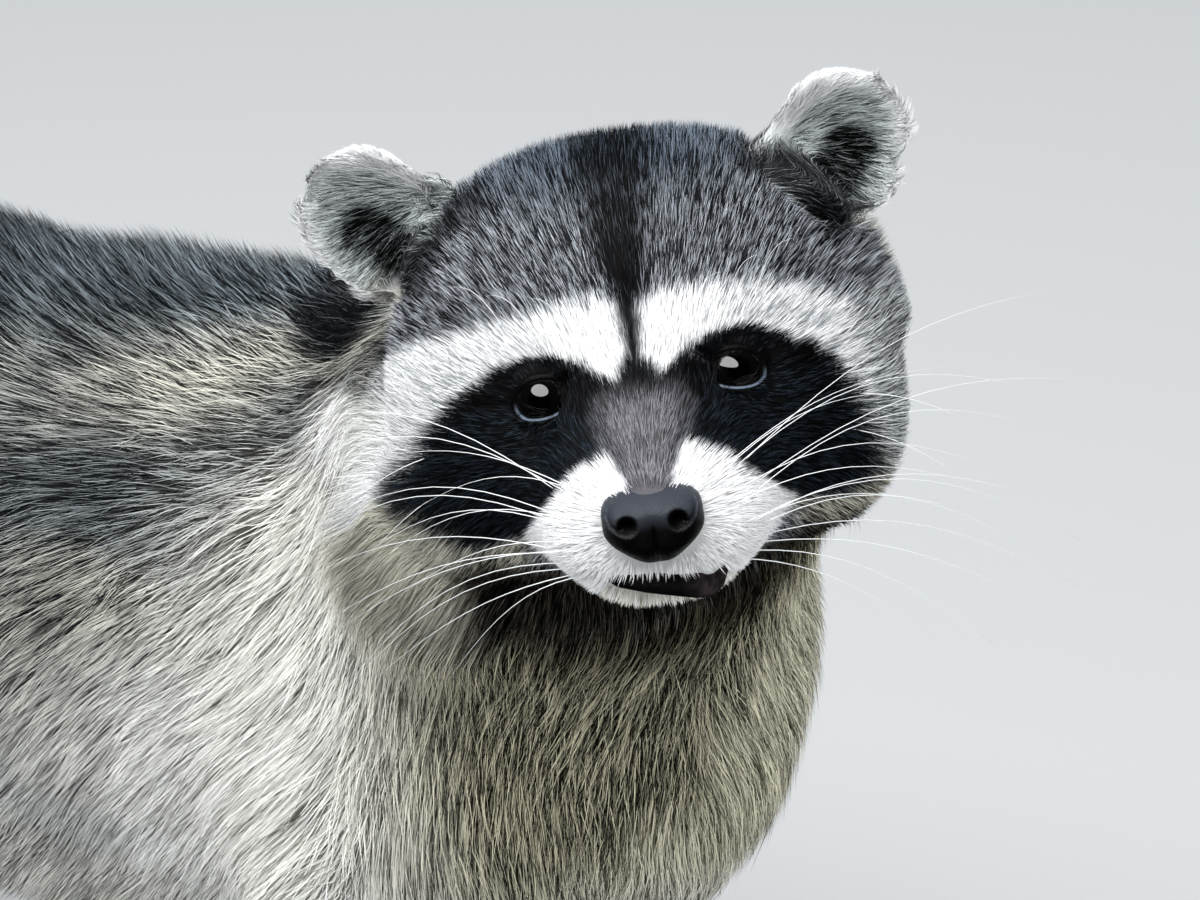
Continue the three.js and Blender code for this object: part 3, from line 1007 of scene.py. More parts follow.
@dataclass(frozen=True)
class Pelage:
    """The raccoon's markings, worked out from places on the body."""

    # Edges over the face from its right to its left.
    brow_top: Outline = Outline(
        (-74, -66, -57.6, -50.5, -40.5, -25.5, -14.3, -8, 0, 9.4, 19, 29, 38.6, 48, 57, 63, 70),
        (8, 15, 17.5, 18.6, 19.9, 21, 23.2, 23, 19, 22.8, 22.3, 22, 20.5, 17, 11.6, 5.7, -3),
    )
    mask_top: Outline = Outline(
        (-76, -70, -65, -60, -56, -47, -36, -27, -20, -14, -8, 0, 8, 14, 20, 27, 33, 40, 46, 51, 55, 58, 62),
        (-26, -17, -12, -8, -4, 2.4, 8.6, 9.6, 8.8, 7, 3, -4, 3, 7, 9, 9.9, 9.2, 6, 2.6, -2.5, -10, -18, -30),
    )
    mask_foot: Outline = Outline(
        (9, 12.6, 20, 26.3, 35, 47.5, 57, 64, 70),
        (-15, -17, -20, -26.7, -34.6, -36.0, -31.3, -27, -21),
    )
    stripe: Outline = Outline((-3, 8, 20, 33, 60, 90), (9, 1.8, 2.6, 6.0, 10, 9))
    bridge: Outline = Outline((-34, -30, -25, -19, -12, -5, 2), (-8, 5.5, 6.5, 8.5, 12, 12, 8))
    tail_rings: int = 5
    wave_size: float = 0.042  # the dark and pale patches of the body, metres
    wave_stretch: tuple[float, float, float] = (0.7, 0.7, 1.7)
    ragged: float = 1.6  # how far the markings' edges wander on the head, mm
    ragged_size: float = 0.004
    soft: float = 1.3  # half the width over which two markings meet on the face, mm

    def paint(self, points: Array, zones: Array, normals: Array) -> Paint:
        """The colours at a set of places.

        Args:
            points: places in the frame, in metres.
            zones: the share of each zone at each place.
            normals: the skin's normals there.

        Returns:
            The paint.
        """
        paint = self.body(points, normals)
        self.limbs(paint, zones)
        self.tail(paint, points, worn(zones, Zone.TAIL))
        self.head(paint, points, ease(worn(zones, Zone.HEAD, Zone.MUZZLE, Zone.JAW), 0.2, 0.7))
        self.ears(paint, points, ease(worn(zones, Zone.EAR), 0.25, 0.6), normals)
        return paint

    def body(self, points: Array, normals: Array) -> Paint:
        """The back, flanks, belly, shoulders, neck and chest.

        Args:
            points: places in the frame, in metres.
            normals: the skin's normals there.

        Returns:
            The paint.
        """
        x, y, z = points.T
        top = normals[:, 2]
        paint = Paint.ground(len(points))
        paint.lay(1.0, (16, 20, 24), (214, 214, 204), 0.52, 0.85)
        wave = mottle(points * self.wave_stretch, self.wave_size, Pattern.PATCHES)
        light = ease(wave, 0.62, 0.34) * (0.40 + 0.45 * ease(x, 0.10, 0.16))
        paint.lay(light, (42, 44, 43), (236, 232, 216), 0.62, 0.65)
        paint.lay(ease(wave, 0.60, 0.78) * 0.8, (10, 15, 21), (140, 150, 156), 0.26, 0.9)
        far = ease(x, 0.115, 0.085) * ease(top, 0.45, 0.6)
        paint.lay(0.55 * far, (14, 18, 22), (176, 182, 182), 0.34, 0.9)
        shoulder = ease(x, 0.08, 0.15) * ease(top, 0.5, 0.8)
        paint.lay(0.65 * shoulder, (58, 58, 54), (248, 244, 226), 0.68, 0.5)
        back = ease(top, 0.80 - 0.25 * ease(x, 0.08, 0.0), 0.985 - 0.15 * ease(x, 0.08, 0.0))
        paint.lay(back, (7, 11, 16), (150, 162, 170), 0.26, 0.95)
        low = ease(z - 0.35 * (x - 0.1) * (x > 0), 0.195, 0.14) * ease(top, 0.4, 0.0)
        low = low * (0.6 + 0.35 * ease(x, 0.10, 0.15))
        paint.lay(low, (84, 84, 80), (255, 255, 252), 0.84, 0.25)
        pale = ease(z, 0.135, 0.115) * ease(top, 0.0, -0.2) * ease(x, 0.10, 0.13)
        paint.lay(0.7 * pale, (120, 120, 114), (255, 255, 252), 0.86, 0.2)
        collar = ease(x, 0.12, 0.18) * ease(top, 0.75, 0.25) * ease(z, 0.262, 0.235)
        paint.lay(0.9 * collar, (104, 102, 94), (255, 254, 246), 0.84, 0.2)
        chest = ease(x, 0.20, 0.25) * ease(z, 0.29, 0.23)
        paint.lay(chest, (30, 25, 16), (222, 216, 186), 0.40, 0.3)
        flank = ease(y - 0.35 * np.clip(z - 0.165, 0, 0.04), -0.010, 0.014) * ease(x, 0.25, 0.28)
        flank = np.maximum(flank, ease(z, 0.168, 0.148) * ease(y, -0.030, -0.010))
        paint.lay(chest * flank * ease(z, 0.235, 0.215), (84, 80, 62), (244, 240, 214), 0.58, 0.2)
        belly = ease(top, -0.25, -0.7) * ease(z, 0.2, 0.15)
        paint.lay(0.8 * belly, (80, 78, 72), (244, 242, 234), 0.6)
        local = HEAD.local(points)
        ahead, aside, up = local.T
        ruff = off_centre(local, (-74, -84, -21), (20, 10, 10))
        paint.lay(ease(ruff, 1.4, 0.8), (150, 152, 148), (255, 255, 252), 0.84, 0.3)
        nape = off_centre(local, (-126, -80, -1), (30, 12, 11))
        paint.lay(ease(nape, 1.25, 0.8), (8, 10, 14), (96, 100, 104), 0.10)
        throat = ease(up, -42, -54) * ease(ahead, -70, -30) * ease(np.abs(aside), 56, 34)
        paint.lay(throat * ease(up, -94, -68), (18, 14, 9), (92, 80, 58), 0.20)
        return paint

    def limbs(self, paint: Paint, zones: Array) -> None:
        """Legs grizzled brown-grey, feet pale buff.

        Args:
            paint: what is laid so far, changed in place.
            zones: the share of each zone at each place.
        """
        legs = worn(zones, Zone.FRONT_LEG, Zone.HIND_LEG)
        paint.lay(legs, (52, 46, 38), (170, 162, 146), 0.46, 0.3)
        feet = worn(zones, Zone.FRONT_PAW, Zone.HIND_FOOT)
        paint.lay(feet, (100, 93, 84), (200, 193, 180), 0.6)

    def tail(self, paint: Paint, points: Array, share: Array) -> None:
        """Pale and dark rings, and a dark tip.

        Args:
            paint: what is laid so far, changed in place.
            points: places in the frame, in metres.
            share: how far each place is on the tail.
        """
        boxes = [np.array(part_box(node)) for node in TAIL]
        tip, root = boxes[-1][0][0], boxes[0][1][0]
        way = (root - points[:, 0]) / (root - tip)
        paint.lay(share, (96, 84, 66), (206, 196, 174), 0.6, 0.2)
        phase = way * (self.tail_rings + 0.5)
        ring = ease(np.abs((phase % 1.0) - 0.72), 0.24, 0.14) * ease(way, 0.06, 0.16)
        dark = np.maximum(ring, ease(way, 0.84, 0.88))
        paint.lay(share * dark, (10, 10, 10), (54, 50, 46), 0.2)

    def head(self, paint: Paint, points: Array, share: Array) -> None:
        """Forehead, stripe, brows, mask, bridge, muzzle, cheeks and chin.

        Args:
            paint: what is laid so far, changed in place.
            points: places in the frame, in metres.
            share: how far each place is on the head.
        """
        local = HEAD.local(points)
        local = local + (mottle(points, self.ragged_size, Pattern.EDGES)[:, None] - 0.5) * self.ragged
        ahead, aside, up = local.T
        out, above = HEAD.face_plan(local)
        soft = self.soft
        face = share * ease(ahead, -66, -44)
        paint.lay(share, (16, 18, 22), (210, 215, 224), 0.32, 0.95)
        # A darker crown whose pale hairs are blue-grey: partly the grizzle's own grey, partly a painted sheen.
        paint.lay(share * ease(up, 36, 54), (9, 12, 17), (122, 136, 152), 0.34, 0.95)
        nape = ease(ahead, -50, -78) * ease(up, 62, 30)
        paint.lay(share * nape, (34, 37, 38), (206, 207, 200), 0.46, 0.8)
        top = self.brow_top.at(aside)
        lid = self.mask_top.at(aside)
        foot = self.mask_foot.at(out)
        right = ease(aside, 5, -5)
        side = share * ease(ahead, -66 - 30 * right, -44 - 20 * right) * ease(above, 12, -2)
        side = side * ease(out, 45 + 5 * right, 52 + 5 * right)
        under = tone(48, 50, 50) + right[:, None] * tone(120, 120, 112)
        paint.lay(side, under, (250, 251, 246), 0.30 + 0.62 * right, 0.5 - 0.35 * right)
        low = face * ease(above, foot + 2, foot - 2) * ease(out, 30, 38)
        wing = ease(out, 50, 62)
        under = tone(56, 53, 45) + wing[:, None] * tone(90, 88, 80)
        paint.lay(low, under, (216, 212, 196), 0.46 + 0.2 * wing, 0.2)
        band = face * ease(above, top + 2.6, top - 2.6) * ease(above, lid - soft, lid + soft)
        paint.lay(band, (150, 156, 160), (255, 255, 255), 0.97 - 0.3 * ease(out, 17, 32))
        grey = face * ease(aside, 54, 60) * ease(above, -34, -24) * ease(above, 22, 12)
        paint.lay(0.8 * grey, (54, 58, 60), (226, 230, 230), 0.42, 0.2)
        stripe = self.stripe.at(above)
        fuzz = 1.6 + 0.11 * np.clip(above - 8, 0, 40)
        middle = share * ease(out - stripe, fuzz, -fuzz) * ease(above, -6, -2)
        paint.lay(middle * (1 - 0.25 * ease(above, 25, 60)), (4, 5, 6), (54, 60, 70), 0.08, 0.9)
        mask = face * ease(above, lid + soft, lid - soft) * ease(above, foot - soft, foot + soft)
        mask = mask * ease(out, 60 + 16 * right, 53 + 13 * right)
        # The mask is black; its pale hairs' blue-grey is a painted sheen on the black fur.
        paint.lay(mask, (8, 9, 11), (40, 50, 60), 0.24)
        corner = np.hypot((out - 13.5) / 7.0, (above + 1.0) / 5.0)
        corner = face * ease(corner, 1.2, 0.7) * ease(above, lid + 1, lid - 1)
        dark_lid = np.maximum(mask * ease(above, -5, 1), corner)
        paint.lay(dark_lid, (5, 5, 6), (40, 45, 52), 0.12)
        bridge = self.bridge.at(above)
        nose_top = face * ease(out, bridge + 3.0, bridge - 2.5) * ease(above, 2, -7) * ease(above, -33, -28)
        paint.lay(nose_top, (80, 77, 80), (138, 137, 144), 0.5)
        flank = nose_top * ease(out, bridge - 6, bridge) * ease(above, -24, -14)
        paint.lay(flank, (34, 35, 38), (88, 90, 96), 0.4)
        muzzle = face * ease(above, foot + soft, foot - soft) * ease(out, bridge - 1.5, bridge + 1.0)
        muzzle = muzzle * ease(out, 37, 33) * ease(ahead, 4, 12)
        paint.lay(muzzle, (214, 219, 222), (255, 255, 255), 0.95)
        chin = share * ease(above, -50, -52) * ease(ahead, 16, 24) * ease(out, 22, 16)
        paint.lay(chin, (150, 145, 130), (252, 250, 240), 0.82)
        jaw = share * ease(up, -43, -50) * ease(ahead, 22, 10) * ease(out, 60, 48)
        paint.lay(jaw, (12, 11, 9), (88, 82, 70), 0.18)

    def ears(self, paint: Paint, points: Array, share: Array, normals: Array) -> None:
        """White rims, grey hollows with a black heart, and black round the ears' roots: dark fur there with
        painted shade in the hollows.

        Args:
            paint: what is laid so far, changed in place.
            points: places in the frame, in metres.
            share: how far each place is on an ear.
            normals: the skin's normals there.
        """
        local = HEAD.local(points)
        facing = normals @ HEAD.matrix[:, 0]
        front = ease(facing, 0.05, 0.4)
        for side, ear in zip(LEFT_RIGHT, EARS.values()):
            mine = ear.owns(local)
            rise, across = ear.plan(local)
            on = share * mine * ease(ear.rim(local), 1.5, 1.3)
            pale = 0.2 + 0.4 * ease(rise, 0.4, 1.0)
            paint.lay(on * (1 - front), (30, 33, 36), (186, 192, 196), pale, 0.3)
            paint.lay(on * front, (58, 64, 64), (222, 229, 229), 0.58)
            inner = ease(across, -0.35, -0.8) * ease(rise, 0.45, 0.6)
            paint.lay(0.8 * on * front * inner, (116, 122, 122), (244, 248, 248), 0.7)
            place = np.stack([across * ear.half_width, rise * ear.long], axis=1)
            heart = gap_to(place, (2.5, 19), (4.5, 33))
            paint.lay(on * front * ease(heart, 9.5, 5.0), (4, 5, 6), (150, 158, 158), 0.12)
            foot = off_centre(local, (-54, 64 * side, 14), (10, 9, 9))
            paint.lay(mine * ease(foot, 1.2, 0.7), (104, 104, 98), (238, 238, 230), 0.62)
            behind = ease(facing, -0.25, -0.65)
            edge = ear.rim(local) - 0.10 * across - 0.16 * behind
            rim = ease(edge, 0.66, 0.86) * ease(share, 0.7, 0.9) * ease(rise + 0.15 * across, 0.36, 0.52)
            paint.lay(on * rim, (225, 230, 232), (255, 255, 255), 0.94)
            square_on = local[:, 1:] * (side, 1)
            # Black at the ear's root and along the crease by it: partly the dark fur there, partly painted
            # shade in the hollow.
            base = gap_to(square_on, (37, 45), (45, 40))
            crease_shade = gap_to(square_on, (45, 40), (55, 27))
            patch = np.maximum(ease(base, 9.0, 2.0), ease(crease_shade, 6.0, 1.5))
            patch = 0.8 * patch * ease(local[:, 0], -46, -38) * ease(local[:, 0], -20, -28)
            back = off_centre(local, (-74, 62 * side, 10), (13, 15, 16))
            patch = np.maximum(patch, ease(back, 1.2, 0.8) * (1 - on) * ease(local[:, 0], -58, -66))
            paint.lay(mine * patch, (7, 7, 9), (64, 66, 72), 0.14)


# ------ the coat


@dataclass
class Strands:
    """Locks of hair as rows of places from root to tip, with what their ribbons need."""

    line: Array  # one row for each lock: its stops from root to tip
    out: Array  # the skin's normal at each stop
    spot: Array  # the skin point nearest to each root
    width: Array  # metres
    tint: Array  # a colour for each stop

    def part(self, chosen: Array) -> "Strands":
        """The chosen locks alone."""
        rows = (self.line, self.out, self.spot, self.width, self.tint)
        return Strands(*(row[chosen] for row in rows))


@dataclass(frozen=True)
class Unwrap:
    """Lays places on the skin out flat: a disc round an axis for the head, a tube for the rest."""

    centre: tuple[float, float, float]
    axis: tuple[float, float, float]
    disc: bool = False

    def lay(self, points: Array) -> Array:
        """Flat places from 0 to 1.

        Args:
            points: places in metres.

        Returns:
            Two columns.
        """
        axis = np.array(self.axis) / np.linalg.norm(self.axis)
        side = unit(np.cross(axis, [0.1, 0.9, 0.2]))
        over = np.cross(axis, side)
        rel = points - self.centre
        turn = np.arctan2(rel @ over, rel @ side)
        if self.disc:
            lean = np.arccos(np.clip(unit(rel) @ axis, -1, 1)) / math.pi
            return 0.5 + 0.49 * np.stack([lean * np.cos(turn), lean * np.sin(turn)], axis=1)
        way = rel @ axis
        low, high = way.min(), way.max()
        across = turn / (2 * math.pi) + 0.5
        return 0.01 + 0.98 * np.stack([across, (way - low) / (high - low)], axis=1)


@dataclass
class Coat:
    """The coat: thin tapering locks laid along the skin and gathered into tufts."""

    skin: Skin
    pelage: Pelage
    patch: float = 0.003  # the flat width of one lock
    rear_share: float = 0.55  # how thickly the far side is covered, beside the near one
    swirl: float = 2.4  # how far whole patches of locks stray together
    swirl_size: float = 0.03  # how large those patches are, metres
    sunk: float = 0.4 * MM  # how deep the roots stand in the skin
    together: float = 0.30  # how far a whole tuft is dark or pale together
    tip_from: float = 0.36  # where along a dark-based lock its pale tip starts
    tip_blend: float = 0.4  # over what share of the lock it grows pale
    roll: float = 0.4  # how far the ribbons turn about their own line, radians
    least_bend: float = 0.25  # locks that turn more sharply than this cosine are left out
    rng: np.random.Generator = field(default_factory=lambda: np.random.default_rng(SEED))

    def thickness(self) -> Array:
        """How thickly the locks stand.

        Returns:
            Locks on each square millimetre, at each point of the skin.
        """
        skin = self.skin
        dense = skin.field("per_square")
        facing = skin.normals @ np.array(CAMERA.back)
        dense = dense * (self.rear_share + (1 - self.rear_share) * ease(facing, -0.5, 0.2))
        local = HEAD.local(skin.points)
        for side in LEFT_RIGHT:
            reach, _, past_rim = eye_plan(side, local)
            dense = dense * np.where(reach < 16, ease(past_rim, 2.0, 6.0), 1.0)
        nose = off_centre(local - NOSE_AT, (1.5, 0, -2.2), (9.5, 12.2, 9.6))
        dense = dense * ease(nose, 0.96, 1.06) * (1 + 0.8 * self.ear_rim())
        dense = dense * (1 - LIPS.cover(local, skin.normals @ HEAD.matrix[:, 0]))
        return dense * ease(skin.hull[:, 2], 0.0012, 0.004)

    def roots(self) -> tuple[Array, Array]:
        """Scatters roots over the skin.

        Returns:
            The nearest skin point's number and the place, for each root.
        """
        triangles = self.skin.triangles
        load = self.skin.areas / MM**2 * self.thickness()[triangles].mean(axis=1)
        count = int(load.sum())
        pick = np.sort(self.rng.choice(len(load), count, p=load / load.sum()))
        u, v = self.rng.random((2, count))
        fold = u + v > 1
        u[fold], v[fold] = 1 - u[fold], 1 - v[fold]
        mix = np.stack([1 - u - v, u, v], axis=1)
        place = (self.skin.points[triangles[pick]] * mix[:, :, None]).sum(axis=1)
        return triangles[pick, mix.argmax(axis=1)], place

    def walk(
        self, spot: Array, place: Array, reach: Array, turn: Array, stops: int, steps: int
    ) -> tuple[Array, Array]:
        """Follows the lie of the fur along the skin.

        Args:
            spot: the skin point nearest to each root.
            place: each root's place.
            reach: how far each lock runs along the skin.
            turn: how far each lock strays sideways, as a share of its run.
            stops: how many places are kept after the root.
            steps: how many steps lie between two of them.

        Returns:
            The skin point and the place at each stop, the root first.
        """
        skin = self.skin
        spots = [spot]
        places = [place]
        stride = (reach / (stops * steps))[:, None]
        for _ in range(stops):
            for _ in range(steps):
                way = skin.lie[spot]
                aside = np.cross(skin.normals[spot], way)
                place = place + (way + aside * turn[:, None]) * stride
                for _ in range(2):
                    near = skin.ring[spot]
                    gap = ((skin.points[near] - place[:, None, :]) ** 2).sum(-1)
                    spot = near[np.arange(len(spot)), gap.argmin(axis=1)]
                normal = skin.normals[spot]
                place = place - normal * along(place - skin.points[spot], normal)
            spots.append(spot)
            places.append(place)
        return np.stack(spots, axis=1), np.stack(places, axis=1)

    def grow(self, spot: Array, place: Array, stops: int, steps: int) -> Strands:
        """Grows one lock from each root.

        Args:
            spot: the skin point nearest to each root.
            place: each root's place.
            stops: how many places each lock has after its root.
            steps: how many steps of the walk lie between two of them.

        Returns:
            The locks.
        """
        skin = self.skin
        count = len(spot)
        length = self.field("length")[spot] * MM * (0.72 + 0.5 * self.rng.random(count))
        depth = skin.depth[spot] * (0.72 + 0.36 * self.rng.random(count))
        reach = np.sqrt(np.maximum(length**2 - depth**2, (0.45 * length) ** 2))
        swirl = self.swirl * (mottle(place, self.swirl_size, Pattern.SWIRL) - 0.5)
        turn = self.field("stray")[spot] * (self.rng.normal(size=count) + swirl)
        spots, places = self.walk(spot, place, reach, turn, stops, steps)
        free = self.ear_rim()[spot][:, None, None]
        forward = HEAD.matrix[:, 0]
        facing = skin.normals[spot] @ forward
        edge = free[:, 0] * ease(np.abs(facing), 0.7, 0.3)[:, None]
        ahead = skin.lie[spot] * reach[:, None] * (1 - 0.6 * edge)
        straight = place[:, None] + ahead[:, None] * np.linspace(0, 1, stops + 1)[None, :, None]
        places = places + free * (straight - places)
        hang = ease(skin.normals[spot, 2], -0.3, -0.8) * skin.share(Zone.TRUNK)[spot]
        lift = self.rng.uniform(0.78, 1.08, count) + 0.3 * hang + self.stand()[spot]
        rise = np.linspace(0, 1, stops + 1)
        rise = 1 - (1 - rise) ** 1.7
        out = skin.normals[spots]
        out = unit(out + free * (out[:, :1] - out))
        height = skin.depth[spots] * rise * lift[:, None]
        height[:, 0] = -self.sunk
        line = places + out * height[:, :, None]
        step = unit(np.diff(line, axis=1))
        kept = (step[:, 1:] * step[:, :-1]).sum(-1).min(axis=1) > self.least_bend
        stub = ~kept & (skin.share(Zone.EAR)[spot] > 0.3)
        short = place[:, None] + 0.4 * (straight - place[:, None]) + out[:, :1] * height[:, :, None]
        line[stub] = short[stub]
        kept = kept | stub
        out = unit(out + free * ease(facing, -0.5, 0.0)[:, None, None] * forward)
        line, out, spots, spot = line[kept], out[kept], spots[kept], spot[kept]
        line, clump = self.gather(line, spot, stops)
        width = self.field("width")[spot] * MM * self.rng.uniform(0.75, 1.2, len(spot))
        seen = line[:, -1] * 0.6 + line[:, stops // 2] * 0.4
        paint = self.pelage.paint(seen, skin.zones[spots[:, max(stops // 2, 1)]], out[:, 1])
        return Strands(line, out, spot, width, self.tint(paint, clump, stops))

    def ear_rim(self) -> Array:
        """How near each point is to an ear's rim.

        Returns:
            Shares from 0 to 1.
        """
        local = self.skin.local
        near = np.zeros(len(local))
        for ear in EARS.values():
            rise, across = ear.plan(local)
            close = ear.owns(local) * ease(ear.rim(local), 0.80, 0.95)
            near += close * ease(rise + 0.25 * across, 0.38, 0.55)
        return near * ease(self.skin.share(Zone.EAR), 0.5, 0.9)

    def stand(self) -> Array:
        """How much further the locks stand off the ears' rims, the withers, the cheeks and the temple.

        Returns:
            What is added to each point's own lift, as a share of the coat's depth.
        """
        x = self.skin.points[:, 0]
        withers = ease(x, 0.03, 0.09) * ease(x, 0.21, 0.17) * ease(self.skin.normals[:, 2], 0.5, 0.9)
        out, above = HEAD.face_plan(self.skin.local)
        left = ease(self.skin.local[:, 1], -10, 10)
        cheek = (1.2 - 0.6 * left) * ease(out, 38, 52) * ease(above + 10 * left, -8, -24)
        temple = 0.6 * left * ease(out, 48, 58) * ease(above, -6, 4) * ease(above, 42, 30)
        return 1.3 * self.ear_rim() + 0.4 * withers + (cheek + temple) * self.skin.share(Zone.HEAD)

    def field(self, name: str) -> Array:
        """A fur size at each point; lengths are shorter where the coat is shallower than its zone's.

        Args:
            name: which of the fur's sizes.

        Returns:
            The size, in millimetres.
        """
        sizes = self.skin.field(name)
        if name != "length":
            return sizes
        shallow = self.skin.depth / MM / np.maximum(self.skin.field("depth"), 0.1)
        out, above = HEAD.face_plan(self.skin.local)
        ruff = self.skin.share(Zone.HEAD) * ease(out, 44, 62) * ease(above, 16, -10)
        trim = 1 - 0.55 * ease(above, -36, -42) * ease(out, 24, 14) * ease(self.skin.local[:, 0], 14, 24)
        for side in LEFT_RIGHT:
            reach = eye_plan(side, self.skin.local)[0]
            trim = trim * (0.45 + 0.55 * ease(reach, 9, EYE_REACH))
        trim = trim * (1 - 0.4 * self.ear_rim())
        x, _, z = self.skin.points.T
        wisp = self.skin.share(Zone.TRUNK) * ease(x, 0.10, 0.20) * ease(z, 0.27, 0.20)
        return sizes * np.clip(0.35 + 0.65 * shallow, 0.4, 1.15) * (1 + 1.5 * ruff) * (1 + 0.35 * wisp) * trim

    def gather(self, line: Array, spot: Array, stops: int) -> tuple[Array, Array]:
        """Draws the locks' tips together into tufts.

        Args:
            line: the locks' places.
            spot: the skin point nearest to each root.
            stops: how many places follow the root.

        Returns:
            The gathered places, and the number of each lock's tuft.
        """
        spacing = self.skin.field("clump")[spot]
        dense = self.thickness()[spot]
        lead = self.rng.random(len(spot)) < 1.0 / np.maximum(dense * spacing**2, 1.5)
        leaders = np.flatnonzero(lead)
        tree = KDTree(len(leaders))
        for number, root in enumerate(line[leaders, 0].tolist()):
            tree.insert(root, number)
        tree.balance()
        mine = np.array([tree.find(root)[1] for root in line[:, 0].tolist()])
        target = line[leaders[mine]]
        pull = self.skin.field("gather")[spot] * self.rng.uniform(0.5, 1.2, len(spot))
        share = (np.linspace(0, 1, stops + 1) ** 1.4)[None, :] * np.clip(pull, 0, 0.92)[:, None]
        line = line + (target - line) * share[:, :, None]
        return line, leaders[mine]

    def tint(self, paint: Paint, clump: Array, stops: int) -> Array:
        """Colours each lock from root to tip.

        Args:
            paint: the markings at each lock.
            clump: the number of each lock's tuft.
            stops: how many places follow the root.

        Returns:
            A colour for each stop of each lock.
        """
        count = len(clump)
        tuft = np.random.default_rng(SEED + 1).random(clump.max() + 1)[clump]
        chance = self.rng.random(count)
        share = np.clip(paint.share + self.together * (tuft - 0.5), 0.0, 1.0)
        pale = ease(share - chance, -0.12, 0.12)[:, None]
        bright = self.rng.uniform(0.7, 1.15, (count, 1))
        below = 1 - 0.9 * paint.tipped[:, None]
        span = paint.pale - paint.dark
        # The root is darker than the rest of the lock, at about half the markings' mean: painted shade deep in
        # the coat.
        row = [0.5 * paint.mean() + 0.2 * (paint.dark + pale * below * span)]
        for stop in range(1, stops + 1):
            reach = np.clip(below + (1 - below) * (stop / stops - self.tip_from) / self.tip_blend, 0, 1)
            row.append((paint.dark + pale * reach * span) * bright)
        return np.clip(np.stack(row, axis=1), 0, 1)

    def ribbon(self, name: str, locks: Strands, unwrap: Unwrap, finish: Material) -> Object:
        """Joins locks into one piece of thin tapering ribbons.

        Args:
            name: the piece's name.
            locks: the locks.
            unwrap: how their roots are laid out flat.
            finish: the hair's finish.

        Returns:
            The piece.
        """
        count, stops = locks.line.shape[:2]
        way = unit(np.gradient(locks.line, axis=1))
        side = unit(np.cross(way, locks.out))
        roll = self.rng.normal(0, self.roll, (count, 1, 1))
        face = np.cross(side, way)
        side = side * np.cos(roll) + face * np.sin(roll)
        face = np.cross(side, way)
        swell = np.interp(np.linspace(0, 1, stops), (0, 0.35, 0.7, 1), (0.7, 1.0, 0.72, 0.0))
        half = 0.5 * locks.width[:, None, None] * swell[None, :, None]
        left = locks.line - side * half
        right = locks.line + side * half
        body = np.stack([left[:, :-1], right[:, :-1]], axis=2).reshape(count, -1, 3)
        points = np.concatenate([body, locks.line[:, -1:]], axis=1)
        shade = 0.4 * face + 0.6 * locks.out
        lean = 0.3 * side
        pair = np.stack([shade - lean, shade + lean], axis=2)[:, :-1].reshape(count, -1, 3)
        normals = unit(np.concatenate([pair, shade[:, -1:]], axis=1))
        colours = np.concatenate([np.repeat(locks.tint[:, :-1], 2, axis=1), locks.tint[:, -1:]], axis=1)
        flat = unwrap.lay(self.skin.points[locks.spot])
        step_up = np.repeat(np.linspace(-0.5, 0.5, stops), 2)[: 2 * stops - 1]
        across = np.tile([-0.5, 0.5], stops)[: 2 * stops - 1]
        across[-1] = 0.0
        uv = flat[:, None, :] + self.patch * np.stack([across, step_up], axis=1)[None]
        return self.mesh(name, points, normals, colours, uv, finish)

    def mesh(
        self, name: str, points: Array, normals: Array, colours: Array, uv: Array, finish: Material
    ) -> Object:
        """Makes the ribbons' mesh from their arrays.

        Args:
            name: the piece's name.
            points: places, one row of them for each ribbon: left and right by turns, then the tip.
            normals: the shading normals.
            colours: the hair colours.
            uv: the flat places.
            finish: the hair's finish.

        Returns:
            The piece.
        """
        count, each = points.shape[:2]
        quads = (each - 1) // 2 - 1
        pattern = [index for q in range(quads) for index in (2 * q, 2 * q + 1, 2 * q + 3, 2 * q + 2)]
        pattern += [each - 3, each - 2, each - 1]
        corner = (np.array(pattern)[None, :] + each * np.arange(count)[:, None]).ravel()
        sizes = np.tile([4] * quads + [3], count)
        mesh = bpy.data.meshes.new(name)
        mesh.vertices.add(count * each)
        mesh.vertices.foreach_set("co", points.astype(np.float32).ravel())
        mesh.loops.add(len(corner))
        mesh.loops.foreach_set("vertex_index", corner.astype(np.int32))
        mesh.polygons.add(len(sizes))
        mesh.polygons.foreach_set("loop_start", (np.cumsum(sizes) - sizes).astype(np.int32))
        mesh.polygons.foreach_set("use_smooth", np.ones(len(sizes), bool))
        layer = mesh.uv_layers.new(name="OFBake")
        layer.uv.foreach_set("vector", uv.reshape(-1, 2)[corner].astype(np.float32).ravel())
        store_colours(mesh, colours.reshape(-1, 3))
        mesh.update(calc_edges=True)
        mesh.normals_split_custom_set_from_vertices(normals.reshape(-1, 3).astype(np.float32))
        mesh.materials.append(finish)
        piece = add_object(name, mesh)
        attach(piece, "root")
        return piece

    def groups(self, spot: Array) -> dict[str, Array]:
        """Which locks go into which piece.

        Args:
            spot: the skin point nearest to each root.

        Returns:
            For each piece's name, a mask over the locks.
        """
        zone = self.skin.zones[spot].argmax(axis=1)
        ahead = self.skin.local[spot, 0]

        def among(*zones: Zone) -> Array:
            """The locks whose root is in one of the zones."""
            return np.isin(zone, [ZONES.index(z) for z in zones])

        out, above = HEAD.face_plan(self.skin.local[spot])
        cheek = among(Zone.HEAD) & (out > 40) & (above < 14)
        chest = among(Zone.TRUNK) & (self.skin.points[spot, 0] > 0.14)
        face = ((among(Zone.HEAD) & (ahead > -14)) | among(Zone.MUZZLE, Zone.JAW)) & ~cheek
        return {
            "face": face,
            "cheeks": cheek,
            "crown": among(Zone.HEAD) & ~face & ~cheek,
            "ears": among(Zone.EAR),
            "neck": among(Zone.NECK),
            "chest": chest,
            "trunk": among(Zone.TRUNK) & ~chest,
            "legs": among(Zone.FRONT_LEG, Zone.HIND_LEG),
            "feet": among(Zone.FRONT_PAW, Zone.HIND_FOOT),
            "tail": among(Zone.TAIL),
        }

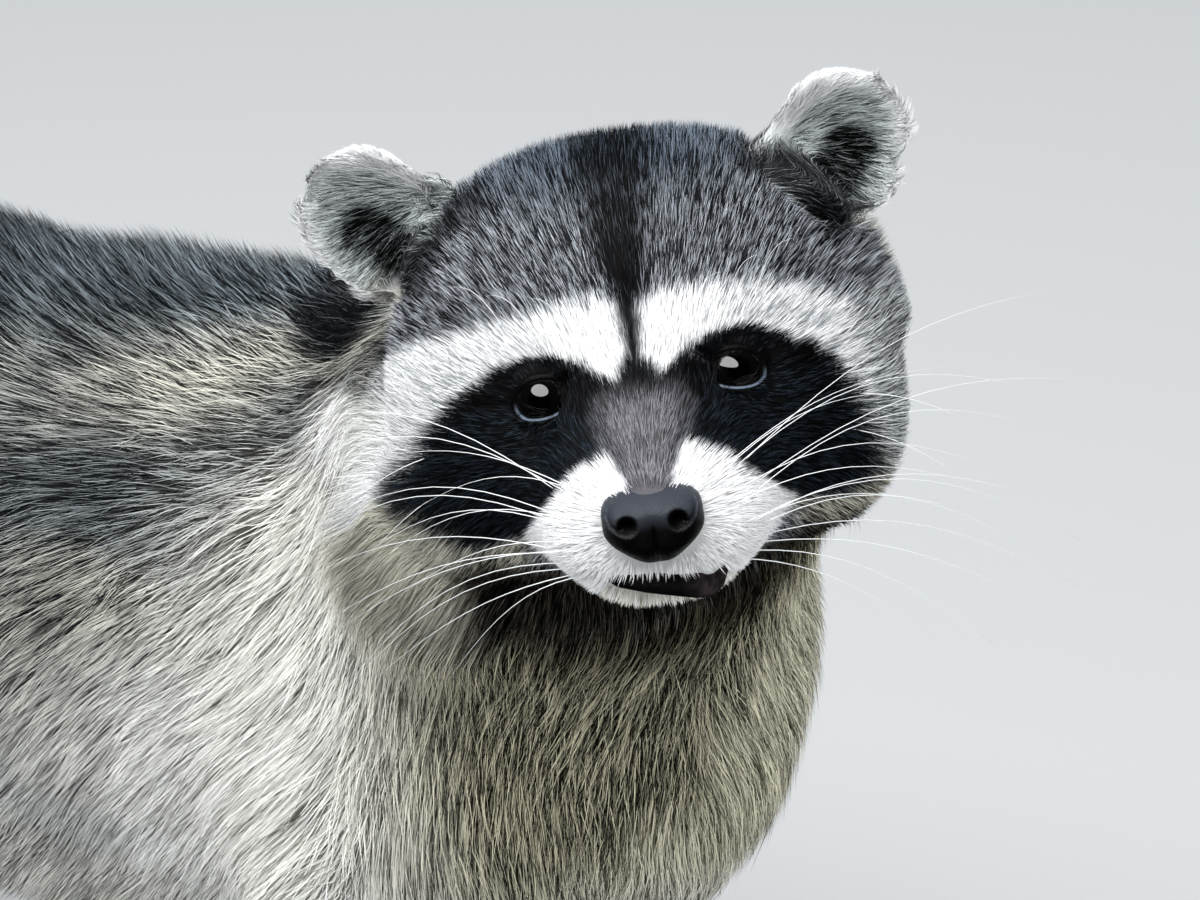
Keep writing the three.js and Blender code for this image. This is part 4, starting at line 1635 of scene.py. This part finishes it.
    def build(self) -> None:
        """Grows the whole coat, piece by piece."""
        spot, place = self.roots()
        finish = CoatFinish().build()
        head = Unwrap(tuple(HEAD.world([[-25, 0, -5]])[0]), tuple(HEAD.matrix[:, 0]), disc=True)
        tube = Unwrap((0.0, 0.0, 0.19), (1.0, 0.0, 0.0))
        post = Unwrap((0.08, 0.0, 0.0), (0.0, 0.0, 1.0))
        wraps = {"legs": post, "feet": post} | {name: head for name in ("face", "cheeks", "crown", "ears")}
        short = ("face", "crown", "ears", "feet", "trunk", "legs")
        for name, chosen in self.groups(spot).items():
            stops = 2 if name in short else 3
            limit = MOST_TRIANGLES // (2 * stops - 1)
            locks = self.grow(spot[chosen], place[chosen], stops, 3 if stops == 2 else 5)
            parts = -(-len(locks.spot) // limit)
            order = np.argsort(locks.line[:, 0, 0])
            for number, share in enumerate(np.array_split(order, parts), 1):
                label = f"coat_{name}" + (f"_{number}" if parts > 1 else "")
                piece = self.ribbon(label, locks.part(share), wraps.get(name, tube), finish)
                LOG.info("%s: %d locks, %d triangles", piece.name, len(share), len(share) * (2 * stops - 1))


def store_colours(mesh: bpy.types.Mesh, colours: Array) -> None:
    """Keeps a colour for each point of a mesh, as the attribute that the finishes read.

    Args:
        mesh: the mesh.
        colours: light values, one row for each point.
    """
    layer = mesh.color_attributes.new(name="coat", type="FLOAT_COLOR", domain="POINT")
    full = np.concatenate([colours, np.ones((len(colours), 1))], axis=1)
    layer.data.foreach_set("color", full.astype(np.float32).ravel())


# ------ the face's own pieces


def finish_piece(name: str, bm: BMesh, finish: Material) -> Object:
    """Turns a bmesh into a smooth piece that rides on the animal.

    Args:
        name: the piece's name.
        bm: the shape, which is freed.
        finish: its finish.

    Returns:
        The piece.
    """
    bmesh.ops.recalc_face_normals(bm, faces=bm.faces)
    for surface in bm.faces:
        surface.smooth = True
    mesh = bpy.data.meshes.new(name)
    bm.to_mesh(mesh)
    bm.free()
    mesh.materials.append(finish)
    piece = add_object(name, mesh)
    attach(piece, "root")
    LOG.info("%s: %d faces", name, len(mesh.polygons))
    return piece


def sheet(around: int, rows: int, place: Callable[[Array, Array], Array]) -> BMesh:
    """A grid bent into shape; edges that meet are joined.

    Args:
        around: how many faces across.
        rows: how many faces along.
        place: takes the shares across and along, from 0 to 1, and gives places in metres.

    Returns:
        The shape.
    """
    bm = bmesh.new()
    bmesh.ops.create_grid(bm, x_segments=around, y_segments=rows, size=1.0)
    flat = places_of(bm.verts) / 2 + 0.5
    move_to(bm, place(flat[:, 0], flat[:, 1]))
    bmesh.ops.remove_doubles(bm, verts=bm.verts, dist=0.004 * MM)
    return bm


@dataclass(frozen=True)
class Eye:
    """One eye with its lids; sizes are in millimetres and the eye's own axes."""

    side: int
    around: int = 64
    cornea: float = 0.55
    iris: float = 5.6
    pupil: float = 3.0
    proud: float = 0.12  # how far the lids' rows stand over the skin
    sunk: float = 0.9  # how far the last row runs under it
    far: float = 0.03  # how deep the search for the skin looks, in metres
    # The lids' rows outward from the rim: degrees past it, distance from the eye's middle, share of skin.
    rows: tuple[tuple[float, float, float], ...] = (
        (-3.0, 7.2, 0.0),
        (-1.0, 8.05, 0.0),
        (0.5, 8.4, 0.0),
        (2.2, 8.65, 0.0),
        (5.0, 8.8, 0.3),
        (9.0, 9.0, 0.9),
        (13.0, 8.2, 1.0),
    )

    @property
    def name(self) -> str:
        """The side's name."""
        return "left" if self.side > 0 else "right"

    def world(self, own: Array) -> Array:
        """Places in the eye's axes, in the frame."""
        return HEAD.world(eye_middle(self.side) + own @ eye_axes(self.side).T)

    def ball(self, finish: Material) -> Object:
        """The eyeball with its clear bulge, dark iris and pupil.

        Args:
            finish: the wet finish.

        Returns:
            The piece.
        """
        bm = round_ball(self.around, 48, EYE_RADIUS)
        own = places_of(bm.verts)
        off = np.hypot(own[:, 1], own[:, 2])
        front = own[:, 0] > 0
        colours = np.tile(tone(8, 7, 7), (len(own), 1))
        for edge, colour in ((self.iris, tone(6, 5, 5)), (self.pupil, tone(1, 1, 2))):
            inside = (ease(off, edge + 0.3, edge - 0.3) * front)[:, None]
            colours = colours + inside * (colour - colours)
        own[:, 0] += self.cornea * ease(off, self.iris + 0.8, 0.0) * front
        move_to(bm, self.world(own))
        piece = finish_piece(f"eyeball_{self.name}", bm, finish)
        store_colours(piece.data, colours)
        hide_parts(f"eye_{self.name}")
        return piece

    def lids(self, skin: Skin, finish: Material) -> Object:
        """The bare rim of the lids, turned in onto the eyeball and run down into the skin.

        Args:
            skin: the skin that the rim runs into.
            finish: the rim's finish.

        Returns:
            The piece.
        """
        past, reach, follow = np.array(self.rows).T

        def place(u: Array, v: Array) -> Array:
            """Places round the eye and outward from the rim.

            Args:
                u: the share of the way round.
                v: the share of the way outward.

            Returns:
                Places in the frame.
            """
            turn = 2 * math.pi * u
            row = np.rint(v * (len(past) - 1)).astype(int)
            lean = np.radians(lid_rim_deg(self.side, turn) + past[row])
            way = np.stack([np.cos(lean), np.sin(lean) * np.cos(turn), np.sin(lean) * np.sin(turn)], axis=1)
            far = reach[row].copy()
            start = Vector(self.world(np.zeros((1, 3)))[0])
            for index in np.flatnonzero(follow[row] > 0):
                direction = Vector(self.world(way[index : index + 1])[0]) - start
                hit = skin.tree.ray_cast(start, direction.normalized(), self.far)[3]
                if hit is not None:
                    far[index] = hit / MM + (self.proud if row[index] < len(past) - 1 else -self.sunk)
            own = reach[row] + follow[row] * (far - reach[row])
            return self.world(way * own[:, None])

        piece = finish_piece(f"eyelids_{self.name}", sheet(self.around, len(past) - 1, place), finish)
        local = HEAD.local(places_of(piece.data.vertices))
        _, turn, past_rim = eye_plan(self.side, local)
        # Pale blue-grey along the lower lid's rim: a painted reflection on the wet rim.
        lower_rim_glint = ease(np.abs(past_rim - 0.3), 1.9, 0.9) * ease(np.sin(turn), 0.0, -0.5)
        colours = np.tile(tone(5, 5, 6), (len(local), 1))
        store_colours(piece.data, colours + lower_rim_glint[:, None] * (tone(98, 110, 124) - colours))
        return piece


@dataclass(frozen=True)
class Nose:
    """The bare nose: a broad pad with comma-shaped nostrils and a groove below; millimetres."""

    half: tuple[float, float, float] = (9.0, 12.6, 11.6)
    top: float = 8.4
    nostril: tuple[float, float] = (6.3, 0.6)
    nostril_size: tuple[float, float] = (2.9, 2.9)
    nostril_deep: float = 5.0
    slit: tuple[tuple[float, float], ...] = ((8.4, -0.6), (10.2, 0.6), (11.0, 3.0), (9.8, 6.0))
    groove: float = 0.7
    # The top's grey is the leather's own with a painted highlight; the near-black of the underside and
    # nostrils is painted shade.
    lit_top: Array = field(default_factory=lambda: tone(50, 54, 62))
    shaded_under: Array = field(default_factory=lambda: tone(5, 5, 6))

    def shape(self, ball: Array) -> Array:
        """Moves the points of a unit ball to the nose's shape, in the nose's own axes.

        Args:
            ball: places on a ball of radius one, X forward.

        Returns:
            Places in millimetres.
        """
        ahead, aside, up = ball.T
        boxy = 1.0 / (np.abs(aside) ** 2.9 + np.abs(up) ** 2.9 + np.abs(ahead) ** 2.3 + 1e-9) ** (1 / 2.7)
        ahead, aside, up = (ball * boxy[:, None]).T
        wide = self.half[1] * (1 - 0.14 * ease(up, 0.45, 1.0) - 0.42 * ease(-up, 0.15, 1.05))
        y = wide * aside
        z = np.where(up > 0, self.top, self.half[2]) * up
        x = self.half[0] * ahead - 3.0 * ease(up, 0.25, 1.0) - 2.4 * ease(-up, 0.45, 1.0)
        front = ease(ahead, 0.1, 0.5)
        wing = np.hypot((np.abs(y) - 7.4) / 4.8, (z - 0.2) / 5.4)
        x = x + front * 0.9 * ease(wing, 1.0, 0.4)
        x = x - front * 0.8 * ease(np.abs(y), 2.6, 0.4) * ease(z, 7, -3)
        out, above = np.abs(y) - self.nostril[0], z - self.nostril[1]
        hole = np.hypot(out / self.nostril_size[0], above / self.nostril_size[1])
        x = x - front * self.nostril_deep * ease(hole, 1.15, -0.2)
        line = np.array(self.slit)
        gap = np.full(len(x), 99.0)
        for start, end in zip(line[:-1], line[1:]):
            gap = np.minimum(gap, gap_to(np.stack([np.abs(y), z], axis=1), start, end))
        x = x - ease(ahead, -0.1, 0.3) * 1.5 * ease(gap, 0.95, 0.15)
        x = x - front * 1.0 * ease(np.abs(y), self.groove, 0.1) * ease(z, 0.5, -2.0)
        return np.stack([x, y, z], axis=1)

    def build(self, finish: Material) -> Object:
        """Makes the nose: its top lighter as a painted highlight, its underside and nostrils dark as painted
        shade.

        Args:
            finish: the leather.

        Returns:
            The piece.
        """
        bm = round_ball(112, 88, 1.0)
        own = self.shape(places_of(bm.verts))
        move_to(bm, HEAD.world(own + NOSE_AT))
        piece = finish_piece("nose_pad", bm, finish)
        # Darker towards the bottom and round the nostrils: painted shade.
        low = ease(own[:, 2], 4.5, -2.0)[:, None]
        hole = np.hypot(np.abs(own[:, 1]) - self.nostril[0], own[:, 2] - self.nostril[1])
        dark = np.maximum(low, ease(hole, 3.8, 2.0)[:, None])
        colours = self.lit_top + dark * (self.shaded_under - self.lit_top)
        # Near black inside the nostrils: painted shade in the holes.
        colours = colours * (1 - 0.95 * ease(hole, 2.9, 1.7)[:, None])
        store_colours(piece.data, colours)
        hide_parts("nose")
        return piece


@dataclass(frozen=True)
class Lips:
    """The black lips: a soft roll across the front of the jaw, fuller at its left end.

    Sizes are in millimetres. The stations are: how far to the left, how far above the eyes on the face's
    plan, and half the roll's height.
    """

    stations: tuple[tuple[float, float, float], ...] = (
        (-14.0, -47.8, 0.4),
        (-12.0, -48.0, 2.0),
        (-5.0, -49.1, 3.3),
        (2.0, -50.3, 3.9),
        (7.0, -51.0, 4.5),
        (11.0, -51.0, 4.7),
        (14.0, -50.1, 3.3),
        (15.6, -49.4, 0.5),
    )
    step: float = 0.25  # how far the search for the jaw's front climbs at a time
    far: float = 0.075  # how deep it looks, in metres
    flat: float = 0.55  # the roll's depth as a share of its height
    proud: float = 0.5

    def at(self, out: Array) -> tuple[Array, Array]:
        """The roll's middle height and half height at each distance to the left."""
        left, above, half = np.array(self.stations).T
        return np.interp(out, left, above), np.interp(out, left, half)

    def cover(self, local: Array, forward: Array) -> Array:
        """How far places lie under the lips.

        Args:
            local: places in the head's axes, in millimetres.
            forward: how far the skin there faces forward, from -1 to 1.

        Returns:
            Shares from 0 to 1.
        """
        _, above = HEAD.face_plan(local)
        middle, half = self.at(local[:, 1])
        inside = ease(np.abs(above - middle), half + 0.4, half - 0.4)
        return inside * (half > 0.5) * (local[:, 0] > 14) * ease(forward, 0.2, 0.5)

    def build(self, skin: Skin, finish: Material) -> Object:
        """Lays the roll on the skin.

        Args:
            skin: the skin that it lies on.
            finish: its finish.

        Returns:
            The piece.
        """
        lean = math.radians(HEAD.face_lean_deg)
        view = np.array([math.cos(lean), 0.0, math.sin(lean)])
        up = np.array([-math.sin(lean), 0.0, math.cos(lean)])
        left = np.array([0.0, 1.0, 0.0])
        out = np.linspace(self.stations[0][0], self.stations[-1][0], 49)
        middle, half = self.at(out)
        towards = Vector(HEAD.turned(-view))
        spine = np.empty((len(out), 3))
        for row, height in enumerate(middle):
            hit = None
            reach = height - self.step
            while hit is None:
                reach += self.step
                start = HEAD.world(view * 90.0 + left * out[row] + up * reach)
                hit = skin.tree.ray_cast(Vector(start), towards, self.far)[0]
            spine[row] = HEAD.local(np.array(hit)) + up * (height - reach) + view * self.proud
        kernel = np.array([1.0, 2.0, 3.0, 2.0, 1.0]) / 9.0
        wide = np.pad(spine[:, 0], 2, mode="edge")
        spine[:, 0] = np.convolve(wide, kernel, mode="valid")

        def place(u: Array, v: Array) -> Array:
            """Places along the roll and round it, with the line of the mouth pressed in.

            Args:
                u: the share of the way along.
                v: the share of the way round.

            Returns:
                Places in the frame.
            """
            row = np.rint(u * (len(spine) - 1)).astype(int)
            turn = 2 * math.pi * v
            press = 1 - 0.35 * ease(np.abs(np.sin(turn) + 0.1), 0.3, 0.0) * (np.cos(turn) > 0)
            height = (half[row] * np.sin(turn))[:, None] * up
            depth = (half[row] * self.flat * np.cos(turn) * press)[:, None] * view
            return HEAD.world(spine[row] + height + depth)

        piece = finish_piece("lips", sheet(len(spine) - 1, 20, place), finish)
        places = places_of(piece.data.vertices)
        bare = mottle(places, 0.0011, Pattern.LIPS) * ease(HEAD.local(places)[:, 1], 3, 11)
        store_colours(piece.data, tone(7, 7, 8) + bare[:, None] * (tone(58, 48, 50) - tone(7, 7, 8)))
        return piece


LIPS = Lips()


@dataclass(frozen=True)
class Whiskers:
    """Long pale bristles from the pads beside the nose, and a few over the eyes and on the cheeks."""

    rows: int = 4
    each: int = 4
    thick: float = 0.30  # mm across at the root
    sides: int = 4
    stops: int = 12
    arch: float = 0.35  # how far they rise in the middle, beside how far they sag at the tip
    taper: float = 0.86  # how much thinner they are at the tip

    def roots(self, side: int, rng: np.random.Generator) -> list[tuple[Array, Array, float, float]]:
        """Each whisker's root, direction, length and bend, in the head's axes and millimetres.

        Args:
            side: 1 for the left side, -1 for the right.
            rng: the source of small differences.

        Returns:
            One entry for each whisker.
        """
        found = []
        for row in range(self.rows):
            for number in range(self.each):
                up = -19.0 - 6.0 * row + rng.normal(0, 0.8)
                back = 3.6 * number + 1.5 * (row % 2)
                root = np.array([44.0 - back, side * (13.0 + 2.6 * number + 0.8 * row), up])
                lift = 0.34 - 0.24 * row + rng.normal(0, 0.07)
                way = np.array([-0.42 - 0.10 * number + rng.normal(0, 0.05), side, lift])
                length = (62 if side > 0 else 54) + 13 * number + rng.uniform(-6, 8)
                found.append((root, way, length, rng.uniform(0.14, 0.30)))
        for number in range(3):
            root = np.array([6.0 - 3 * number, side * (14.0 + 7 * number), 13.0])
            found.append((root, np.array([0.3, side * 0.5, 1.0]), 22 + 4 * number, 0.3))
        for number in range(2):
            root = np.array([-8.0, side * (52.0 - 4 * number), -14.0 - 8 * number])
            found.append((root, np.array([0.1, side, -0.2 - 0.2 * number]), 30.0, 0.15))
        return found

    def build(self, skin: Skin, finish: Material) -> Object:
        """Makes all the whiskers as one piece of thin tapering tubes.

        Args:
            skin: the skin that they stand in.
            finish: their finish.

        Returns:
            The piece.
        """
        rng = np.random.default_rng(SEED + 2)
        arch = HEAD.turned(np.array([0.1, 0.0, 1.0]))
        sag = HEAD.turned(np.array([-0.45, 0.0, -0.9]))
        verts: list[Array] = []
        faces: list[tuple[int, ...]] = []
        share = np.linspace(0, 1, self.stops)
        spin = 2 * math.pi * np.arange(self.sides) / self.sides
        for side in LEFT_RIGHT:
            for root, way, length, bend in self.roots(side, rng):
                foot = np.array(skin.tree.find_nearest(Vector(HEAD.world(root[None])[0]))[0])
                ahead = HEAD.turned(unit(way))
                start = foot - ahead * 1.0 * MM
                line = start + ahead * (share * length * MM)[:, None]
                line = line + arch * (np.sin(share * math.pi) * self.arch * bend * length * MM)[:, None]
                line = line + sag * (share**2.0 * bend * length * MM)[:, None]
                across = unit(np.cross(ahead, [0.2, 0.1, 1.0]))
                over = np.cross(ahead, across)
                radius = 0.5 * self.thick * MM * (1 - self.taper * share**1.2)
                ring = np.cos(spin)[:, None] * across + np.sin(spin)[:, None] * over
                base = sum(len(block) for block in verts)
                verts.append((line[:, None, :] + radius[:, None, None] * ring[None]).reshape(-1, 3))
                for row in range(self.stops - 1):
                    for k in range(self.sides):
                        a = base + row * self.sides + k
                        b = base + row * self.sides + (k + 1) % self.sides
                        faces.append((a, b, b + self.sides, a + self.sides))
                faces.append(tuple(base + k for k in reversed(range(self.sides))))
                last = base + (self.stops - 1) * self.sides
                faces.append(tuple(last + k for k in range(self.sides)))
        mesh = bpy.data.meshes.new("whiskers")
        mesh.from_pydata(np.concatenate(verts).tolist(), [], faces)
        bm = bmesh.new()
        bm.from_mesh(mesh)
        bpy.data.meshes.remove(mesh)
        return finish_piece("whiskers", bm, finish)


# ------ finishes


class Value:
    """A shader socket that can be used in sums."""

    def __init__(self, shader: "Shader", socket: bpy.types.NodeSocket) -> None:
        """Keeps the socket and the shader it belongs to."""
        self.shader = shader
        self.socket = socket

    def join(self, operation: str, first: Any, second: Any) -> "Value":
        """One Math node on two values.

        Args:
            operation: the node's operation.
            first: the first value.
            second: the second value.

        Returns:
            The result.
        """
        return self.shader.node("ShaderNodeMath", {"operation": operation}, {0: first, 1: second})[0]

    def __add__(self, other: Any) -> "Value":
        """The sum."""
        return self.join("ADD", self, other)

    def __radd__(self, other: Any) -> "Value":
        """The sum, the other way round."""
        return self.join("ADD", other, self)

    def __sub__(self, other: Any) -> "Value":
        """The difference."""
        return self.join("SUBTRACT", self, other)

    def __rsub__(self, other: Any) -> "Value":
        """The difference, the other way round."""
        return self.join("SUBTRACT", other, self)

    def __mul__(self, other: Any) -> "Value":
        """The product."""
        return self.join("MULTIPLY", self, other)

    def __rmul__(self, other: Any) -> "Value":
        """The product, the other way round."""
        return self.join("MULTIPLY", other, self)


class Shader:
    """A material and the one method that its nodes are made by."""

    def __init__(self, name: str) -> None:
        """Starts an empty material.

        Args:
            name: the material's name.
        """
        self.material = bpy.data.materials.new(name)
        self.material.use_nodes = True
        self.tree = self.material.node_tree
        self.tree.nodes.clear()

    def node(self, kind: str, settings: dict[str, Any], sockets: dict[Any, Any]) -> list[Value]:
        """Makes one node.

        Args:
            kind: the node's type.
            settings: the node's own settings, set before anything is joined to it.
            sockets: for each input, a number, a colour or a value to join.

        Returns:
            The node's outputs.
        """
        node = self.tree.nodes.new(kind)
        for name, setting in settings.items():
            setattr(node, name, setting)
        for name, given in sockets.items():
            if isinstance(given, Value):
                self.tree.links.new(given.socket, node.inputs[name])
            else:
                node.inputs[name].default_value = given
        return [Value(self, output) for output in node.outputs if output.enabled]

    def attribute(self, name: str) -> Value:
        """A colour kept on the mesh."""
        return self.node("ShaderNodeAttribute", {"attribute_name": name}, {})[0]

    def place(self) -> Value:
        """Places in the piece's own axes: the node's Object output."""
        return self.node("ShaderNodeTexCoord", {}, {})[3]

    def noise(self, scale: float, detail: float = 2.0) -> Value:
        """A soft random pattern.

        Args:
            scale: how many changes to a metre.
            detail: how many finer patterns lie over it.

        Returns:
            The pattern, about 0.5 on average.
        """
        sockets = {"Vector": self.place(), "Scale": scale, "Detail": detail}
        return self.node("ShaderNodeTexNoise", {}, sockets)[0]

    def cells(self, scale: float) -> Value:
        """The distance to the nearest of many scattered points."""
        return self.node("ShaderNodeTexVoronoi", {}, {"Vector": self.place(), "Scale": scale})[0]

    def bump(self, height: Value, strength: float, distance: float) -> Value:
        """A normal that follows a height.

        Args:
            height: the height pattern.
            strength: how strongly it shows.
            distance: how high it stands, in metres.

        Returns:
            The normal.
        """
        sockets = {"Height": height, "Strength": strength, "Distance": distance}
        return self.node("ShaderNodeBump", {}, sockets)[0]

    def surface(self, **sockets: Any) -> Material:
        """Ends the material with one surface.

        Args:
            sockets: the surface's inputs, with _ for a space in their names.

        Returns:
            The material.
        """
        named = {name.replace("_", " "): given for name, given in sockets.items()}
        shader = self.node("ShaderNodeBsdfPrincipled", {}, named)[0]
        self.node("ShaderNodeOutputMaterial", {}, {"Surface": shader})
        return self.material


def paint_colour(rgb: Sequence[float]) -> tuple[float, float, float, float]:
    """A colour named from 0 to 255, as a socket takes it."""
    return (*tone(*rgb), 1.0)


@dataclass(frozen=True)
class CoatFinish:
    """Hair with a soft low gloss, coloured by the markings."""

    roughness: float = 0.6
    gloss: float = 0.09

    def build(self) -> Material:
        """Makes the material.

        Returns:
            The material.
        """
        shader = Shader("coat_hair")
        return shader.surface(
            Base_Color=shader.attribute("coat"), Roughness=self.roughness, Specular_IOR_Level=self.gloss
        )


@dataclass(frozen=True)
class SkinFinish:
    """The short underfur and the bare skin beneath the coat."""

    grain: float = 900.0
    roughness: float = 0.8
    gloss: float = 0.05
    # The skin's colour is the markings' mean darkened by this share: painted shade under the coat.
    shade: float = 0.55  # how bright it is beside the hairs above it

    def build(self) -> Material:
        """Makes the material.

        Returns:
            The material.
        """
        shader = Shader("under_coat")
        normal = shader.bump(shader.noise(self.grain, 3.0), 0.6, 0.4 * MM)
        return shader.surface(
            Base_Color=shader.attribute("coat"),
            Roughness=self.roughness,
            Specular_IOR_Level=self.gloss,
            Normal=normal,
        )


@dataclass(frozen=True)
class WetFinish:
    """A bare surface that takes its colours from the piece: smooth, or pebbled like leather."""

    name: str
    roughness: float
    pebbles: float = 0.0  # mm across
    high: float = 0.12  # mm
    gloss: float = 0.5

    def build(self) -> Material:
        """Makes the material.

        Returns:
            The material.
        """
        shader = Shader(self.name)
        sockets = {"Base_Color": shader.attribute("coat"), "Roughness": self.roughness}
        if self.pebbles:
            height = shader.cells(1 / (self.pebbles * MM)) + 0.4 * shader.noise(900.0)
            sockets["Normal"] = shader.bump(1 - height, 0.8, self.high * MM)
        return shader.surface(**sockets, Specular_IOR_Level=self.gloss)


@dataclass(frozen=True)
class PlainFinish:
    """A matt or glossy surface of one colour with a fine grain."""

    name: str
    colour: tuple[float, float, float]
    roughness: float
    grain: float = 600.0
    depth: float = 0.1

    def build(self) -> Material:
        """Makes the material.

        Returns:
            The material.
        """
        shader = Shader(self.name)
        normal = shader.bump(shader.noise(self.grain), 0.5, self.depth * MM)
        colour = paint_colour(self.colour)
        return shader.surface(Base_Color=colour, Roughness=self.roughness, Normal=normal)


# ------ the claws


@dataclass(frozen=True)
class Claws:
    """The bare claws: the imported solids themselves, rounded."""

    joined: float = 0.01 * MM
    halvings: int = 2

    def dress(self, horn: Material) -> None:
        """Rounds each claw and gives it its horn.

        Args:
            horn: the finish.
        """
        claws = [node for name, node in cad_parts.items() if "claw" in name]
        for claw in claws:
            claw.data.materials.clear()
            claw.data.materials.append(horn)
            claw.modifiers.new("joined", "WELD").merge_threshold = self.joined
            rounded = claw.modifiers.new("rounded", "SUBSURF")
            rounded.levels = self.halvings
            rounded.render_levels = self.halvings
        LOG.info("claws: %d", len(claws))


# ------ the studio


@dataclass(frozen=True)
class Camera:
    """The camera: where it stands round the head, how far off, and how wide it sees."""

    azimuth_deg: float = 40.0
    height_deg: float = 17.0
    distance: float = 2.2
    half_width: float = 0.150  # of what it sees at the head, metres
    sensor: float = 36.0  # mm
    aside: float = 0.010  # how far it aims to the left of the head's origin, metres
    below: float = 0.0175  # and how far below it

    @property
    def axes(self) -> tuple[Array, Array, Array]:
        """The way the camera stands.

        Returns:
            Its right, up and backward directions.
        """
        turn = math.radians(self.azimuth_deg)
        back = bearing(self.azimuth_deg, self.height_deg)
        right = np.array([math.cos(turn), math.sin(turn), 0.0])
        return right, np.cross(back, right), back

    @property
    def back(self) -> Array:
        """From the subject towards the camera."""
        return self.axes[2]

    def build(self) -> None:
        """Stands the camera in the scene."""
        right, up, back = self.axes
        aim = HEAD.origin - right * self.aside - up * self.below
        data = bpy.data.cameras.new("camera")
        data.sensor_width = self.sensor
        data.lens = self.sensor * self.distance / (2 * self.half_width)
        camera = add_object("camera", data)
        turn = np.stack([right, up, back], axis=1)
        place = Matrix(turn.tolist()).to_4x4()
        place.translation = Vector(aim + back * self.distance)
        camera.matrix_world = place
        bpy.context.scene.camera = camera


CAMERA = Camera()


@dataclass(frozen=True)
class Lamp:
    """A soft lamp: where it stands as seen from the camera's side, its size and its power."""

    name: str
    azimuth_deg: float
    height_deg: float
    distance: float
    size: float
    power: float
    mirrored: bool = True  # whether it shows in glossy surfaces
    broad: float = 1.0  # how many times wider than high

    def build(self) -> None:
        """Stands the lamp in the scene, facing the animal's middle."""
        data = bpy.data.lights.new(self.name, "AREA")
        data.shape = "ELLIPSE"
        data.size = self.size * self.broad
        data.size_y = self.size
        data.energy = self.power
        lamp = add_object(self.name, data)
        back = Vector(bearing(self.azimuth_deg, self.height_deg))
        low, high = CAD_BOX
        lamp.location = (low + high) / 2 + back * self.distance
        lamp.rotation_mode = "QUATERNION"
        lamp.rotation_quaternion = back.to_track_quat("Z", "Y")
        lamp.visible_glossy = self.mirrored


@dataclass(frozen=True)
class Studio:
    """A pale floor under soft light."""

    half_floor: float = 6.0
    pale: tuple[float, float, float] = (176, 178, 179)
    sky: float = 0.62
    sky_colour: tuple[float, float, float, float] = (0.93, 0.96, 1.0, 1.0)
    # Each lamp's name, azimuth, height, distance, size and power.
    lamps: tuple[Lamp, ...] = (
        Lamp("key", 8, 56, 1.9, 1.5, 62, broad=1.9),
        Lamp("fill", 95, 30, 2.2, 1.6, 12, False),
        Lamp("rim", 205, 45, 2.2, 1.2, 20, False),
    )

    def build(self) -> None:
        """Lays the floor, lights the scene and stands the camera."""
        bm = bmesh.new()
        bmesh.ops.create_grid(bm, x_segments=1, y_segments=1, size=self.half_floor)
        mesh = bpy.data.meshes.new("floor")
        bm.to_mesh(mesh)
        bm.free()
        floor = add_object("floor", mesh)
        card = PlainFinish("floor_card", self.pale, roughness=0.9, grain=40.0, depth=0.05)
        mesh.materials.append(card.build())
        floor.visible_glossy = False
        world = bpy.data.worlds.new("sky")
        world.use_nodes = True
        backdrop = world.node_tree.nodes["Background"]
        backdrop.inputs["Color"].default_value = self.sky_colour
        backdrop.inputs["Strength"].default_value = self.sky
        bpy.context.scene.world = world
        world.cycles_visibility.glossy = False
        bpy.context.scene.view_settings.view_transform = "Standard"
        for lamp in self.lamps:
            lamp.build()
        CAMERA.build()


# ------ the whole animal


def main() -> None:
    """Builds the raccoon and its studio, piece by piece."""
    logging.basicConfig(level=logging.INFO, format="%(name)s: %(message)s")
    Studio().build()
    skin = Skin()
    piece = skin.build()
    pelage = Pelage()
    paint = pelage.paint(skin.points, skin.zones, skin.normals)
    under_coat = SkinFinish()
    # The skin is the hairs' mean colour darkened: painted shade under the coat.
    store_colours(piece.data, under_coat.shade * paint.mean())
    piece.data.materials.append(under_coat.build())
    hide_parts(*FLESH)
    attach(piece, "root")
    LOG.info("skin: %d triangles", len(skin.triangles))
    Coat(skin, pelage).build()
    glass = WetFinish("eye_glass", roughness=0.03, gloss=0.8).build()
    rim = WetFinish("lid_rim", roughness=0.5, pebbles=0.5, high=0.05, gloss=0.1).build()
    for side in LEFT_RIGHT:
        eye = Eye(side)
        eye.ball(glass)
        eye.lids(skin, rim)
    leather = WetFinish("nose_leather", roughness=0.5, pebbles=0.6, high=0.12, gloss=0.2).build()
    Nose().build(leather)
    LIPS.build(skin, leather)
    Whiskers().build(skin, PlainFinish("whisker", (238, 240, 240), roughness=0.35).build())
    Claws().dress(PlainFinish("claw_horn", (48, 42, 36), roughness=0.4).build())


if __name__ == "__main__":
    main()
